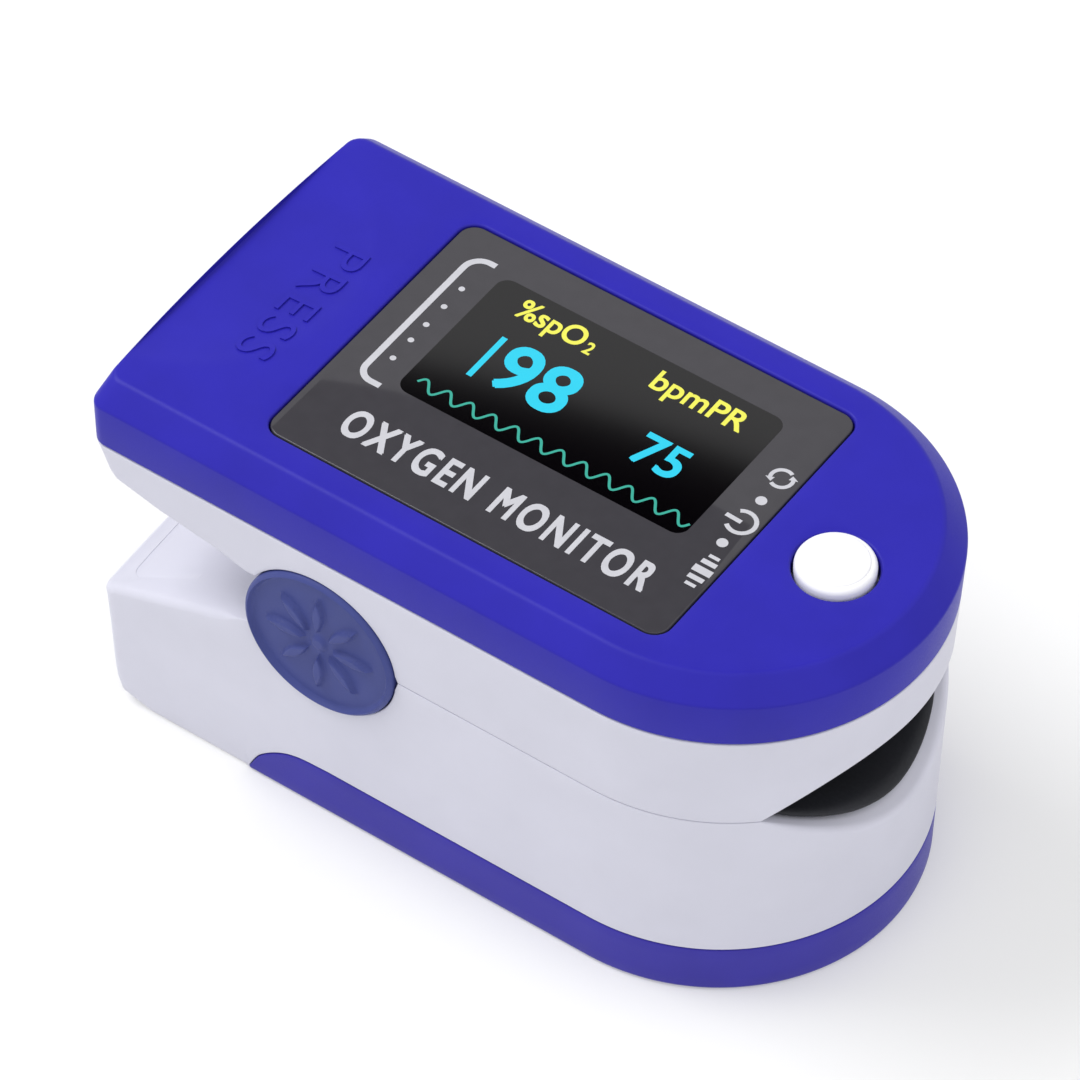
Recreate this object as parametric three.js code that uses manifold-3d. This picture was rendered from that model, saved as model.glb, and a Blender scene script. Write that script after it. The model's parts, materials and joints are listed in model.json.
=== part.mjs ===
// Fingertip pulse oximeter: an upper jaw with a display, hinged on a lower half with the battery bay.
// Millimetres, +Z up, origin at the bottom centre, +X towards the finger opening.

import * as THREE from 'three';
import { mergeVertices } from 'three/addons/utils/BufferGeometryUtils.js';
import Module from 'manifold-3d';

const wasm = await Module();
wasm.setup();

// ---------- Driving dimensions ----------

const HALF_LENGTH = 30;
const HALF_WIDTH = 16.5;
const FRONT_CENTRE_X = HALF_LENGTH - HALF_WIDTH;
const HEIGHT = 32.7;
const BEVEL_Z = 31.0;
const TOP_HALF_WIDTH = 14.8;
const TOP_BACK_X = -29.45;
const COVER_SEAM_Z = 27.1;
const PARTING_Z = 18.5;
const DOOR_TOP_Z = 4.4;
const SEAM_GAP = 0.05;

const UPPER_DRAFT = 0.03;
const LOWER_DRAFT = 0.0095;
const WALL = 1.35;
const REAR_CORNER = 1.2;
const BACK_BULGE = 0.45;

const HINGE_X = -9.7;
const HINGE_Z = 18.4;
const CAP_RADIUS = 6.4;
const CAP_NOTCH_RADIUS = 6.7;
const CAP_INNER_Y = 14.95;
const CAP_OUTER_Y = 16.6;
const NOTCH_INNER_Y = 13.3;
const LOWER_EAR = { inner: 13.45, outer: 14.6, radius: 5.6 };
const UPPER_EAR = { inner: 11.9, outer: 13.2, radius: 4.2 };
const PIN_RADIUS = 1.2;
const PIN_BORE_RADIUS = 1.3;
const PIN_INNER_Y = 7.8;
const PIN_OUTER_Y = 15.85;

const CHANNEL_HALF_WIDTH = 10.5;
const CHANNEL_RISE = 4.8;
const CHANNEL_DROP = 4.9;
const CHANNEL_WALL = 1.2;
const CHANNEL_BACK_X = -5.2;
const FLARE_X = 27.2;
const PAD_THICKNESS = 1.0;
const PAD_GAP = 0.1;
const PAD_FRONT_INSET = 1.0;

const LENS = { back: -17.2, front: 16.1, half: 12.45, corner: 1.3, bottom: 31.6, top: 32.6 };
const LENS_GAP = 0.12;
const LENS_LEDGE = 1.2;
const COVER_INNER_Z = 30.9;

const BUTTON_X = 22.2;
const BUTTON_RADIUS = 2.9;
const BUTTON_TOP_Z = 33.7;

const BOARD = { bottom: 25.75, top: 26.75, half: 12, back: -25.5 };
const WINDOW_X = 11;

const CELL_RADIUS = 5.1;
const CELL_Y = 5.3;
const CELL_Z = 6.6;
const CELL_TIP_X = 22.55;
const CELL_LENGTH = 44.5;

const UPPER_SCREWS = [[16.2, 13.1], [-22.5, 12.2]];
const LOWER_SCREWS = [[13, 12.9], [-21, 12.9]];
const UPPER_SCREW = { headZ: 23.2, tipZ: 29.6, headRadius: 1.55 };
const LOWER_SCREW = { headZ: 4.8, tipZ: 11.9, headRadius: 1.5 };
const CONTACT_THICKNESS = 0.35;

const FRONT_STEPS = 18;
const CORNER_STEPS = 3;
const BACK_STEPS = 4;

// Side profile of the upper shell's rear underside, from its rear chin to the hinge caps, as [x, z].
const REAR_UNDERSIDE = [
  [-28.9, 25.3], [-28.2, 24.6], [-27.3, 24.15], [-26.1, 23.85], [-23.6, 23.2], [-19.9, 22.6], [-17.6, 22.2],
  [-16.1, 21.8],
];
// Side profile of the lower half's rear rim.
const REAR_RIM = [[-30, 11.25], [-16.1, 16.4]];
// Where the deck steps down from the rim to the hinge pocket, and the pocket's floor.
const POCKET_X = -16.6;
const POCKET_FLOOR_Z = 13.5;
// Rear end of the battery door in side view, from the bottom face up to the door's top edge.
const DOOR_END = [
  [-16.4, 0], [-16.2, 0.5], [-15.3, 2.1], [-13.6, 3.5], [-11.8, 4.2], [-9.2, DOOR_TOP_Z],
];

// ---------- Solids ----------

// Turns a closed three.js geometry into a manifold solid.
function toSolid(geometry) {
  const bare = geometry.clone();
  bare.deleteAttribute('normal');
  bare.deleteAttribute('uv');
  const merged = mergeVertices(bare, 1e-4);
  return new wasm.Manifold(new wasm.Mesh({
    numProp: 3,
    vertProperties: new Float32Array(merged.attributes.position.array),
    triVerts: new Uint32Array(merged.index.array),
  }));
}

// Turns a manifold solid into a three.js geometry.
function toGeometry(solid) {
  const mesh = solid.getMesh();
  const geometry = new THREE.BufferGeometry();
  geometry.setAttribute('position', new THREE.BufferAttribute(new Float32Array(mesh.vertProperties), 3));
  geometry.setIndex(new THREE.BufferAttribute(new Uint32Array(mesh.triVerts), 1));
  geometry.computeVertexNormals();
  return geometry;
}

function union(solids) {
  return solids.reduce((sum, solid) => sum.add(solid));
}

// Skins a stack of outlines, each a list of [x, y, z] with the same number of points, and caps both ends.
function loft(sections) {
  const count = sections[0].length;
  const rings = sections.length;
  const index = [];
  for (let ring = 0; ring + 1 < rings; ring += 1) {
    for (let i = 0; i < count; i += 1) {
      const next = (i + 1) % count;
      const a = ring * count + i;
      const b = ring * count + next;
      index.push(a, b, b + count, a, b + count, a + count);
    }
  }
  const alongX = sections[0].every((point) => Math.abs(point[0] - sections[0][0][0]) < 1e-6);
  const flat = sections[0].map(([x, y, z]) => (alongX ? new THREE.Vector2(y, z) : new THREE.Vector2(x, y)));
  for (const [a, b, c] of THREE.ShapeUtils.triangulateShape(flat, [])) {
    const lift = (rings - 1) * count;
    index.push(a, c, b, a + lift, b + lift, c + lift);
  }
  const geometry = new THREE.BufferGeometry();
  geometry.setAttribute('position', new THREE.Float32BufferAttribute(sections.flat(2), 3));
  geometry.setIndex(index);
  return toSolid(geometry);
}

// Where a prism's local X, Y and Z axes point, by the world axis that it runs along.
const PRISM_AXES = {
  x: [[0, 1, 0], [0, 0, 1], [1, 0, 0]],
  y: [[0, 0, 1], [1, 0, 0], [0, 1, 0]],
  z: [[1, 0, 0], [0, 1, 0], [0, 0, 1]],
};

// Extrudes an outline along one axis. Points are [y, z] along x, [x, z] along y, and [x, y] along z.
function prism(axis, points, from, to) {
  const outline = axis === 'y' ? points.map(([x, z]) => [z, x]) : points;
  const shape = new THREE.Shape(outline.map(([a, b]) => new THREE.Vector2(a, b)));
  const geometry = new THREE.ExtrudeGeometry(shape, { depth: to - from, bevelEnabled: false });
  geometry.translate(0, 0, from);
  const [right, up, along] = PRISM_AXES[axis].map((direction) => new THREE.Vector3(...direction));
  geometry.applyMatrix4(new THREE.Matrix4().makeBasis(right, up, along));
  return toSolid(geometry);
}

function box(x0, x1, y0, y1, z0, z1) {
  const geometry = new THREE.BoxGeometry(x1 - x0, y1 - y0, z1 - z0);
  geometry.translate((x0 + x1) / 2, (y0 + y1) / 2, (z0 + z1) / 2);
  return toSolid(geometry);
}

function circle(a, b, radius, sides = 18) {
  return Array.from({ length: sides }, (_, i) => {
    const angle = (2 * Math.PI * i) / sides;
    return [a + radius * Math.cos(angle), b + radius * Math.sin(angle)];
  });
}

// A round bar along one axis, centred on [a, b] in the other two.
function rod(axis, a, b, radius, from, to, sides = 18) {
  return prism(axis, circle(a, b, radius, sides), from, to);
}

// Turns a profile of [radius, height] pairs, which starts and ends on the axis, about +Z.
function turned(profile, segments = 20) {
  const points = profile.map(([radius, height]) => new THREE.Vector2(radius, height));
  return toSolid(new THREE.LatheGeometry(points, segments).rotateX(Math.PI / 2));
}

// A round wire along a list of points.
function wire(points, radius, steps, sides = 6) {
  const section = new THREE.Shape(circle(0, 0, radius, sides).map(([a, b]) => new THREE.Vector2(a, b)));
  const path = new THREE.CatmullRomCurve3(points.map((point) => new THREE.Vector3(...point)));
  return toSolid(new THREE.ExtrudeGeometry(section, { steps, extrudePath: path, bevelEnabled: false }));
}

// The same solid on both sides of the plane y = 0.
function bothSides(make) {
  return union([make(1), make(-1)]);
}

function roundedRectangle(x0, x1, y0, y1, radius, steps = 3) {
  const corners = [[x1, y1, 0], [x0, y1, 1], [x0, y0, 2], [x1, y0, 3]];
  return corners.flatMap(([x, y, quarter]) => {
    const centreX = x + (x === x1 ? -radius : radius);
    const centreY = y + (y === y1 ? -radius : radius);
    return Array.from({ length: steps + 1 }, (_, i) => {
      const angle = (Math.PI / 2) * (quarter + i / steps);
      return [centreX + radius * Math.cos(angle), centreY + radius * Math.sin(angle)];
    });
  });
}

// ---------- Body outline ----------

// Half width of the outer skin at a height, with the draft of its walls.
function halfWidthAt(z) {
  if (z >= PARTING_Z) {
    return HALF_WIDTH - UPPER_DRAFT * Math.max(0, BEVEL_Z - z);
  }
  return HALF_WIDTH - UPPER_DRAFT * (BEVEL_Z - PARTING_Z) - LOWER_DRAFT * (PARTING_Z - z);
}

// Plan outline at height z: round front, straight sides, tight rear corners and a slightly bowed back.
function outline(z, half, back) {
  const points = [];
  for (let i = 0; i <= FRONT_STEPS; i += 1) {
    const angle = Math.PI * (i / FRONT_STEPS - 0.5);
    points.push([FRONT_CENTRE_X + half * Math.cos(angle), half * Math.sin(angle), z]);
  }
  const cornerX = back + BACK_BULGE + REAR_CORNER;
  const cornerY = half - REAR_CORNER;
  for (let i = 0; i <= CORNER_STEPS; i += 1) {
    const angle = (Math.PI / 2) * (1 + i / CORNER_STEPS);
    points.push([cornerX + REAR_CORNER * Math.cos(angle), cornerY + REAR_CORNER * Math.sin(angle), z]);
  }
  for (let i = 1; i < BACK_STEPS; i += 1) {
    const across = 1 - (2 * i) / BACK_STEPS;
    points.push([back + BACK_BULGE * across * across, cornerY * across, z]);
  }
  for (let i = 0; i <= CORNER_STEPS; i += 1) {
    const angle = (Math.PI / 2) * (2 + i / CORNER_STEPS);
    points.push([cornerX + REAR_CORNER * Math.cos(angle), -cornerY + REAR_CORNER * Math.sin(angle), z]);
  }
  return points;
}

// A solid that follows the outer skin, moved in by inset, through [z, back] stations.
function skin(stations, inset = 0) {
  return loft(stations.map(([z, back]) => outline(z, halfWidthAt(z) - inset, back + inset)));
}

// Cross-section of the finger channel, grown by a margin on every side, as [y, z].
function channelSection(margin, steps = 24) {
  return Array.from({ length: steps }, (_, i) => {
    const angle = (2 * Math.PI * i) / steps;
    const rise = Math.sin(angle) > 0 ? CHANNEL_RISE : CHANNEL_DROP;
    const across = (CHANNEL_HALF_WIDTH + margin) * Math.cos(angle);
    return [across, PARTING_Z + (rise + margin) * Math.sin(angle)];
  });
}

// The finger channel itself, flaring out at its mouth.
function channelHollow() {
  const mouth = HALF_LENGTH + 0.6;
  const straight = prism('x', channelSection(0), CHANNEL_BACK_X, mouth);
  const section = (x, margin) => channelSection(margin).map(([y, z]) => [x, y, z]);
  return straight.add(loft([section(FLARE_X, 0), section(mouth, 1.3)]));
}

// A side profile above or below a height, cut through the full width.
function sideCut(points, halfWidth = HALF_WIDTH + 1) {
  return prism('y', points, -halfWidth, halfWidth);
}

// The round recesses that the side caps sit in.
function capNotches() {
  return bothSides((side) => {
    const [from, to] = side > 0 ? [NOTCH_INNER_Y, HALF_WIDTH + 1] : [-HALF_WIDTH - 1, -NOTCH_INNER_Y];
    return rod('y', HINGE_X, HINGE_Z, CAP_NOTCH_RADIUS, from, to, 32);
  });
}

// ---------- Upper jaw ----------

function topCover() {
  const outer = loft([
    outline(COVER_SEAM_Z + SEAM_GAP, halfWidthAt(COVER_SEAM_Z), -HALF_LENGTH + 0.1),
    outline(BEVEL_Z, HALF_WIDTH, -HALF_LENGTH),
    outline(HEIGHT, TOP_HALF_WIDTH, TOP_BACK_X),
  ]);
  const hollow = skin([[COVER_SEAM_Z - 1, -HALF_LENGTH], [COVER_INNER_Z, -HALF_LENGTH]], 1.5);
  const { back, front, half, corner, bottom } = LENS;
  const recess = roundedRectangle(back - LENS_GAP, front + LENS_GAP, -half - LENS_GAP, half + LENS_GAP, corner);
  const opening = roundedRectangle(
    back + LENS_LEDGE, front - LENS_LEDGE, -half + LENS_LEDGE, half - LENS_LEDGE, corner,
  );
  const scoop = new THREE.SphereGeometry(1, 24, 12).scale(11, 12.5, 0.75).translate(-31, 0, HEIGHT);
  const bosses = UPPER_SCREWS.flatMap(([x, y]) => [y, -y].map((centre) => (
    rod('z', x, centre, 1.9, COVER_SEAM_Z + SEAM_GAP, COVER_INNER_Z + 0.3, 12)
  )));
  const pilots = UPPER_SCREWS.flatMap(([x, y]) => [y, -y].map((centre) => (
    rod('z', x, centre, 0.95, COVER_SEAM_Z - 1, 30, 10)
  )));
  return outer
    .subtract(hollow)
    .add(union(bosses))
    .subtract(union(pilots))
    .subtract(prism('z', recess, bottom - 0.05, HEIGHT + 1))
    .subtract(prism('z', opening, COVER_INNER_Z - 1, HEIGHT + 1))
    .subtract(rod('z', BUTTON_X, 0, BUTTON_RADIUS + 0.2, COVER_INNER_Z - 1, HEIGHT + 1, 28))
    .subtract(toSolid(scoop));
}

function displayLens() {
  const { back, front, half, corner, bottom, top } = LENS;
  return prism('z', roundedRectangle(back, front, -half, half, corner), bottom, top);
}

const upperScrewSites = UPPER_SCREWS.flatMap(([x, y]) => [[x, y], [x, -y]]);

function upperShell() {
  const outer = skin([[PARTING_Z + SEAM_GAP, -28.8], [24.3, -28.8], [COVER_SEAM_Z - SEAM_GAP, -29.9]]);
  const pocketRoof = 22.6;
  const floor = 1.2;
  const below = sideCut([...REAR_UNDERSIDE, [-16.1, 10], [-40, 10], [-40, 24.3]]);
  const pocket = prism('y', [[-16.2, 10], [-6.2, 10], [-6.2, pocketRoof], [-15.5, pocketRoof], [-16.2, 21]],
    -NOTCH_INNER_Y, NOTCH_INNER_Y);
  const raised = REAR_UNDERSIDE.map(([x, z]) => [x, z + floor]);
  const kept = [
    prism('x', channelSection(CHANNEL_WALL), -8, HALF_LENGTH + 1),
    sideCut([...raised, [-15.5, pocketRoof + floor], [-6.2, pocketRoof + floor], [-6.2, 15], [-40, 15], [-40, 25.5]]),
    bothSides((side) => rod('y', HINGE_X, HINGE_Z, CAP_NOTCH_RADIUS + 1,
      side > 0 ? 12.2 : -20, side > 0 ? 20 : -12.2, 24)),
  ];
  const hollow = skin([[20, -28.8], [24.3, -28.8], [COVER_SEAM_Z + 1, -29.9]], WALL).subtract(union(kept));
  const ears = bothSides((side) => {
    const from = side > 0 ? UPPER_EAR.inner : -UPPER_EAR.outer;
    const to = side > 0 ? UPPER_EAR.outer : -UPPER_EAR.inner;
    const web = prism('y', [[-13.9, HINGE_Z], [-6.0, HINGE_Z], [-6.0, 23], [-13.9, 23]], from, to);
    return web.add(rod('y', HINGE_X, HINGE_Z, UPPER_EAR.radius, from, to, 22));
  });
  const bosses = upperScrewSites.map(([x, y]) => rod('z', x, y, 2.3, x > 0 ? PARTING_Z + SEAM_GAP : 22.35,
    COVER_SEAM_Z - SEAM_GAP, 14));
  const bores = upperScrewSites.map(([x, y]) => (
    rod('z', x, y, 1.75, 17, 24.25, 12).add(rod('z', x, y, 1, 20, 30, 10))
  ));
  return outer
    .subtract(hollow)
    .add(union(bosses).intersect(outer))
    .subtract(channelHollow())
    .subtract(below)
    .subtract(pocket)
    .subtract(capNotches())
    .add(ears)
    .subtract(rod('y', HINGE_X, HINGE_Z, PIN_BORE_RADIUS, -20, 20))
    .subtract(union(bores))
    .subtract(box(WINDOW_X - 2.6, WINDOW_X + 2.6, -2.6, 2.6, 22, 25.5))
    .subtract(box(-11.3, -8.1, -3.4, 3.4, 22, 24.4));
}

// Half of the sleeve that lines the channel: side is 1 for the upper pad and -1 for the lower pad.
function fingerPad(side) {
  const back = CHANNEL_BACK_X + PAD_GAP;
  const outer = prism('x', channelSection(-PAD_GAP), back, HALF_LENGTH + 1);
  const inner = prism('x', channelSection(-PAD_GAP - PAD_THICKNESS), back + PAD_THICKNESS, HALF_LENGTH + 2);
  const near = PARTING_Z + side * 0.1;
  const far = PARTING_Z + side * 10;
  const window = box(WINDOW_X - 2.1, WINDOW_X + 2.1, -2.1, 2.1, Math.min(near, far), Math.max(near, far));
  const plan = skin([[8, -28], [28, -28]], PAD_FRONT_INSET);
  return outer
    .subtract(inner)
    .intersect(plan)
    .intersect(box(-20, 40, -20, 20, Math.min(near, far), Math.max(near, far)))
    .subtract(window);
}

function mainBoard() {
  const front = 25.6;
  const plate = loft([BOARD.bottom, BOARD.top].map((z) => outline(z, BOARD.half, BOARD.back)))
    .intersect(box(-40, front, -20, 20, 20, 30));
  const notches = upperScrewSites.map(([x, y]) => rod('z', x, y, 2.7, 20, 30, 14));
  return plate.subtract(union(notches));
}

function powerButton() {
  const shoulder = 32.75;
  const domeSteps = 4;
  const dome = Array.from({ length: domeSteps + 1 }, (_, i) => {
    const angle = (Math.PI / 2) * (i / domeSteps);
    return [BUTTON_RADIUS * Math.cos(angle), shoulder + (BUTTON_TOP_Z - shoulder) * Math.sin(angle)];
  });
  dome[domeSteps][0] = 0;
  const profile = [[0, 29.4], [1.2, 29.4], [1.2, 30], [3.8, 30], [3.8, 30.8], [BUTTON_RADIUS, 30.8], ...dome];
  return turned(profile).translate([BUTTON_X, 0, 0]);
}

// The switch body has a well that the plunger sinks into.
function tactSwitchBody() {
  return box(BUTTON_X - 3, BUTTON_X + 3, -3, 3, 26.8, 28.6).subtract(rod('z', BUTTON_X, 0, 1.6, 27.9, 29));
}

function oledFlex() {
  const thickness = 0.25;
  const steps = 6;
  const bend = (centreY, centreZ, radius, start, end) => Array.from({ length: steps + 1 }, (_, i) => {
    const angle = start + ((end - start) * i) / steps;
    return [centreY + radius * Math.cos(angle), centreZ + radius * Math.sin(angle)];
  });
  const outer = bend(-7.5, 28.3, 1.5, Math.PI / 2, 1.5 * Math.PI);
  const inner = bend(-7.5, 28.3, 1.5 - thickness, 1.5 * Math.PI, Math.PI / 2);
  return prism('x', [...outer, [-5, 26.8], [-5, 26.8 + thickness], ...inner], -5, 5);
}

// ---------- Hinge ----------

// Side cap: a shallow dished disc with a rounded rim, outer face towards +Z before it is placed.
function sideCap(side) {
  const depth = CAP_OUTER_Y - CAP_INNER_Y;
  const disc = turned([
    [0, 0], [CAP_RADIUS, 0], [CAP_RADIUS, depth - 0.5], [CAP_RADIUS - 0.15, depth - 0.15],
    [CAP_RADIUS - 0.5, depth], [0, depth],
  ], 28);
  const bore = rod('z', 0, 0, PIN_BORE_RADIUS, -1, PIN_OUTER_Y - CAP_INNER_Y + 0.1);
  return disc
    .subtract(bore)
    .rotate([side > 0 ? -90 : 90, 0, 0])
    .translate([HINGE_X, side * CAP_INNER_Y, HINGE_Z]);
}

function hingePin(side) {
  const [from, to] = side > 0 ? [PIN_INNER_Y, PIN_OUTER_Y] : [-PIN_OUTER_Y, -PIN_INNER_Y];
  return rod('y', HINGE_X, HINGE_Z, PIN_RADIUS, from, to);
}

// Closing spring: a coil round the pin with two arms that reach back and push the rear ends apart.
// Each arm leaves the coil along its tangent.
function torsionSpring(side) {
  const coilRadius = 2.5;
  const wireRadius = 0.4;
  const turns = 3;
  const perTurn = 10;
  const pitch = 0.83;
  const firstY = 8.5;
  const upperEnd = { x: -15.2, z: 22.0 };
  const lowerEnd = { x: -15.2, z: 14.05 };
  const tangentAngle = ({ x, z }, turnsBack) => {
    const across = x - HINGE_X;
    const up = z - HINGE_Z;
    return Math.atan2(up, across) + turnsBack * Math.acos(coilRadius / Math.hypot(across, up));
  };
  const start = tangentAngle(upperEnd, -1);
  const end = tangentAngle(lowerEnd, 1) - 2 * Math.PI * turns;
  const steps = Math.round((perTurn * (start - end)) / (2 * Math.PI));
  const lastY = firstY + (pitch * (start - end)) / (2 * Math.PI);
  const coil = Array.from({ length: steps + 1 }, (_, i) => {
    const angle = start + ((end - start) * i) / steps;
    const y = firstY + ((lastY - firstY) * i) / steps;
    return [HINGE_X + coilRadius * Math.cos(angle), side * y, HINGE_Z + coilRadius * Math.sin(angle)];
  });
  const arm = (from, to) => [0.33, 0.66].map((part) => from.map((value, i) => value + (to[i] - value) * part));
  const upperTip = [upperEnd.x, side * firstY, upperEnd.z];
  const lowerTip = [lowerEnd.x, side * lastY, lowerEnd.z];
  const route = [upperTip, ...arm(upperTip, coil[0]), ...coil, ...arm(coil[steps], lowerTip), lowerTip];
  return wire(route, wireRadius, 62);
}

// ---------- Lower half ----------

const LOWER_STATIONS = [[0, -26.9], [0.35, -28.2], [1.1, -28.95], [3, -29.35], [7.25, -29.6], [11.4, -29.9]];

// The outer skin of the lower half, with its bottom edge rounded off.
function lowerBody() {
  const sections = [...LOWER_STATIONS, [PARTING_Z - SEAM_GAP, -29.9]].map(([z, back]) => {
    const rounding = z === 0 ? 0.1 : 0;
    return outline(z, halfWidthAt(z) - rounding, back);
  });
  return loft(sections);
}

// Everything above the rear rim, which slopes up to the hinge.
function aboveRim(lift) {
  const [[x0, z0], [x1, z1]] = REAR_RIM;
  return sideCut([[-40, z0 + lift], [x0, z0 + lift], [x1, z1 + lift], [x1, 30], [-40, 30]]);
}

function doorZone(margin) {
  const end = DOOR_END.map(([x, z]) => [x - margin, z + (z > 0 ? margin : -1)]);
  return sideCut([...end, [HALF_LENGTH + 1, DOOR_TOP_Z + margin], [HALF_LENGTH + 1, -1]]);
}

const lowerScrewSites = LOWER_SCREWS.flatMap(([x, y]) => [[x, y], [x, -y]]);

function lowerShell() {
  const hollow = skin([[1.3, -28.6], [3, -29.3], [11.4, -29.9], [PARTING_Z + 1, -29.9]], WALL);
  const shelf = skin([[DOOR_TOP_Z + 0.1, -28], [5.6, -28]])
    .subtract(skin([[4, -28], [6, -28]], 2.55))
    .intersect(box(-14, 40, -20, 20, 0, 10));
  const skirt = skin([[1.6, -28], [5, -28]], 1.5)
    .subtract(skin([[1, -28], [6, -28]], 2.55))
    .intersect(box(-14, 40, -20, 20, 0, 10));
  const columns = lowerScrewSites.map(([x, y]) => rod('z', x, y, 2.3, x > 0 ? DOOR_TOP_Z + 0.1 : 0.5, 8.5, 14));
  const bores = lowerScrewSites.map(([x, y]) => (
    rod('z', x, y, 1.7, -1, 5.85, 12).add(rod('z', x, y, 1, 5, 10, 10))
  ));
  const railSlots = bothSides((side) => box(-8.4, 20, side > 0 ? 14 : -15, side > 0 ? 15 : -14, 2.35, 3.35));
  return lowerBody()
    .subtract(hollow)
    .subtract(doorZone(0.08))
    .add(shelf)
    .add(skirt)
    .add(union(columns).intersect(lowerBody()))
    .subtract(union(bores))
    .subtract(railSlots)
    .subtract(box(20, 29, -2.2, 2.2, 1, 2.9))
    .subtract(channelHollow())
    .subtract(aboveRim(0))
    .subtract(capNotches());
}

function lowerDeck() {
  const inset = WALL + 0.12;
  const envelope = skin([[1.5, -28.1], [11.4, -29.9], [PARTING_Z - SEAM_GAP, -29.9]], inset);
  const [[rimBackX, rimBackZ], [rimFrontX, rimFrontZ]] = REAR_RIM;
  const plate = 1.0;
  const rimSlope = (rimFrontZ - rimBackZ) / (rimFrontX - rimBackX);
  const stepZ = rimBackZ + rimSlope * (POCKET_X - rimBackX);
  const stepBackX = POCKET_X - plate;
  const rearPlate = sideCut([
    [rimBackX, rimBackZ - plate], [stepBackX, stepZ - (1 + rimSlope) * plate], [stepBackX, POCKET_FLOOR_Z - 1.1],
    [-4.6, POCKET_FLOOR_Z - 1.1], [-4.6, POCKET_FLOOR_Z], [POCKET_X, POCKET_FLOOR_Z], [POCKET_X, stepZ],
    [rimBackX, rimBackZ],
  ]);
  const flange = box(-4.6, 40, -20, 20, 17.25, PARTING_Z);
  const trough = prism('x', channelSection(CHANNEL_WALL), -6.2, HALF_LENGTH + 1)
    .intersect(box(-10, 40, -20, 20, 0, PARTING_Z));
  const ears = bothSides((side) => {
    const from = side > 0 ? LOWER_EAR.inner : -LOWER_EAR.outer;
    const to = side > 0 ? LOWER_EAR.outer : -LOWER_EAR.inner;
    const web = prism('y', [[-14.6, 12.5], [-4.6, 12.5], [-4.6, HINGE_Z], [-14.6, HINGE_Z]], from, to);
    return web.add(rod('y', HINGE_X, HINGE_Z, LOWER_EAR.radius, from, to, 26));
  });
  const bosses = lowerScrewSites.map(([x, y]) => (
    rod('z', x, y, 1.7, 8.6, x > 0 ? 17.6 : 14, 12)
  ));
  const pilots = lowerScrewSites.map(([x, y]) => rod('z', x, y, 0.95, 8, 12.05, 10));
  const frontWall = box(23.3, 24.3, -7.6, 7.6, 1.7, 14);
  const rearWall = box(-25.3, -24.2, -9.6, 9.6, 1.7, 12.7);
  const cells = [CELL_Y, -CELL_Y].map((y) => rod('x', y, CELL_Z, CELL_RADIUS + 0.2, -24.2, 23.3, 24));
  return union([rearPlate, flange, trough, ...bosses, frontWall, rearWall])
    .intersect(envelope)
    .subtract(union(cells))
    .subtract(channelHollow())
    .add(ears)
    .subtract(union(pilots))
    .subtract(rod('y', HINGE_X, HINGE_Z, PIN_BORE_RADIUS, -20, 20))
    .subtract(box(WINDOW_X - 2.6, WINDOW_X + 2.6, -2.6, 2.6, 12, 15))
    .subtract(box(-11.3, -8.1, -3.4, 3.4, 12, 14))
    .subtract(box(22, 25, -2.2, 2.2, 1, 3));
}

function batteryDoor() {
  const cup = skin([[1.3, -28], [6, -28]], WALL);
  const rails = bothSides((side) => (
    box(-8, 12, side > 0 ? 14.25 : -14.8, side > 0 ? 14.8 : -14.25, 2.5, 3.2)
  ));
  const tongue = box(-19.5, -14.5, -1.5, 1.5, 1.45, 2.4).add(box(-15.4, -14.5, -1.5, 1.5, 1, 2.4));
  const grips = [-13, -11.5, -10, -8.5, -7].map((x) => box(x - 0.3, x + 0.3, -5, 5, -1, 0.3));
  return lowerBody()
    .intersect(doorZone(0))
    .intersect(box(-40, 40, -20, 20, 0, DOOR_TOP_Z))
    .subtract(cup)
    .add(rails)
    .add(tongue)
    .subtract(union(grips));
}

// An AAA cell with its positive tip towards +X or -X.
function cell(y, direction) {
  const tip = 0.8;
  const shell = turned([
    [0, 0], [4.4, 0], [4.6, 0.25], [CELL_RADIUS, 0.25], [CELL_RADIUS, CELL_LENGTH - tip - 0.3],
    [4.8, CELL_LENGTH - tip], [1.9, CELL_LENGTH - tip], [1.9, CELL_LENGTH], [0, CELL_LENGTH],
  ]);
  const tipX = direction > 0 ? CELL_TIP_X : -23.35;
  return shell.rotate([0, direction * 90, 0]).translate([tipX - direction * CELL_LENGTH, y, CELL_Z]);
}

// A coned contact spring from a plate at plateX to the flat end of a cell at cellX.
function contactSpring(y, plateX, cellX) {
  const turns = 2;
  const steps = 24;
  const points = Array.from({ length: steps + 1 }, (_, i) => {
    const angle = (2 * Math.PI * turns * i) / steps;
    const radius = 3.4 - 1.6 * (i / steps);
    const x = plateX + (cellX - plateX) * (i / steps);
    return [x, y + radius * Math.cos(angle), CELL_Z + radius * Math.sin(angle)];
  });
  return wire(points, 0.22, 24, 4);
}

function bridgeContact() {
  const plate = box(22.85, 22.85 + CONTACT_THICKNESS, -8.6, 8.6, 3.4, 9.8);
  const bump = rod('x', CELL_Y, CELL_Z, 2.2, CELL_TIP_X + 0.05, 23, 12);
  return union([plate, bump, contactSpring(-CELL_Y, 22.8, 21.6)]);
}

function positiveContact() {
  const plate = box(-24.1, -24.1 + CONTACT_THICKNESS, -8.6, -2, 3.4, 9.8);
  return plate.add(rod('x', -CELL_Y, CELL_Z, 2.2, -23.9, -23.42, 12));
}

function negativeContact() {
  const plate = box(-24.1, -24.1 + CONTACT_THICKNESS, 2, 8.6, 3.4, 9.8);
  return plate.add(contactSpring(CELL_Y, -23.7, -22.4));
}

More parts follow.
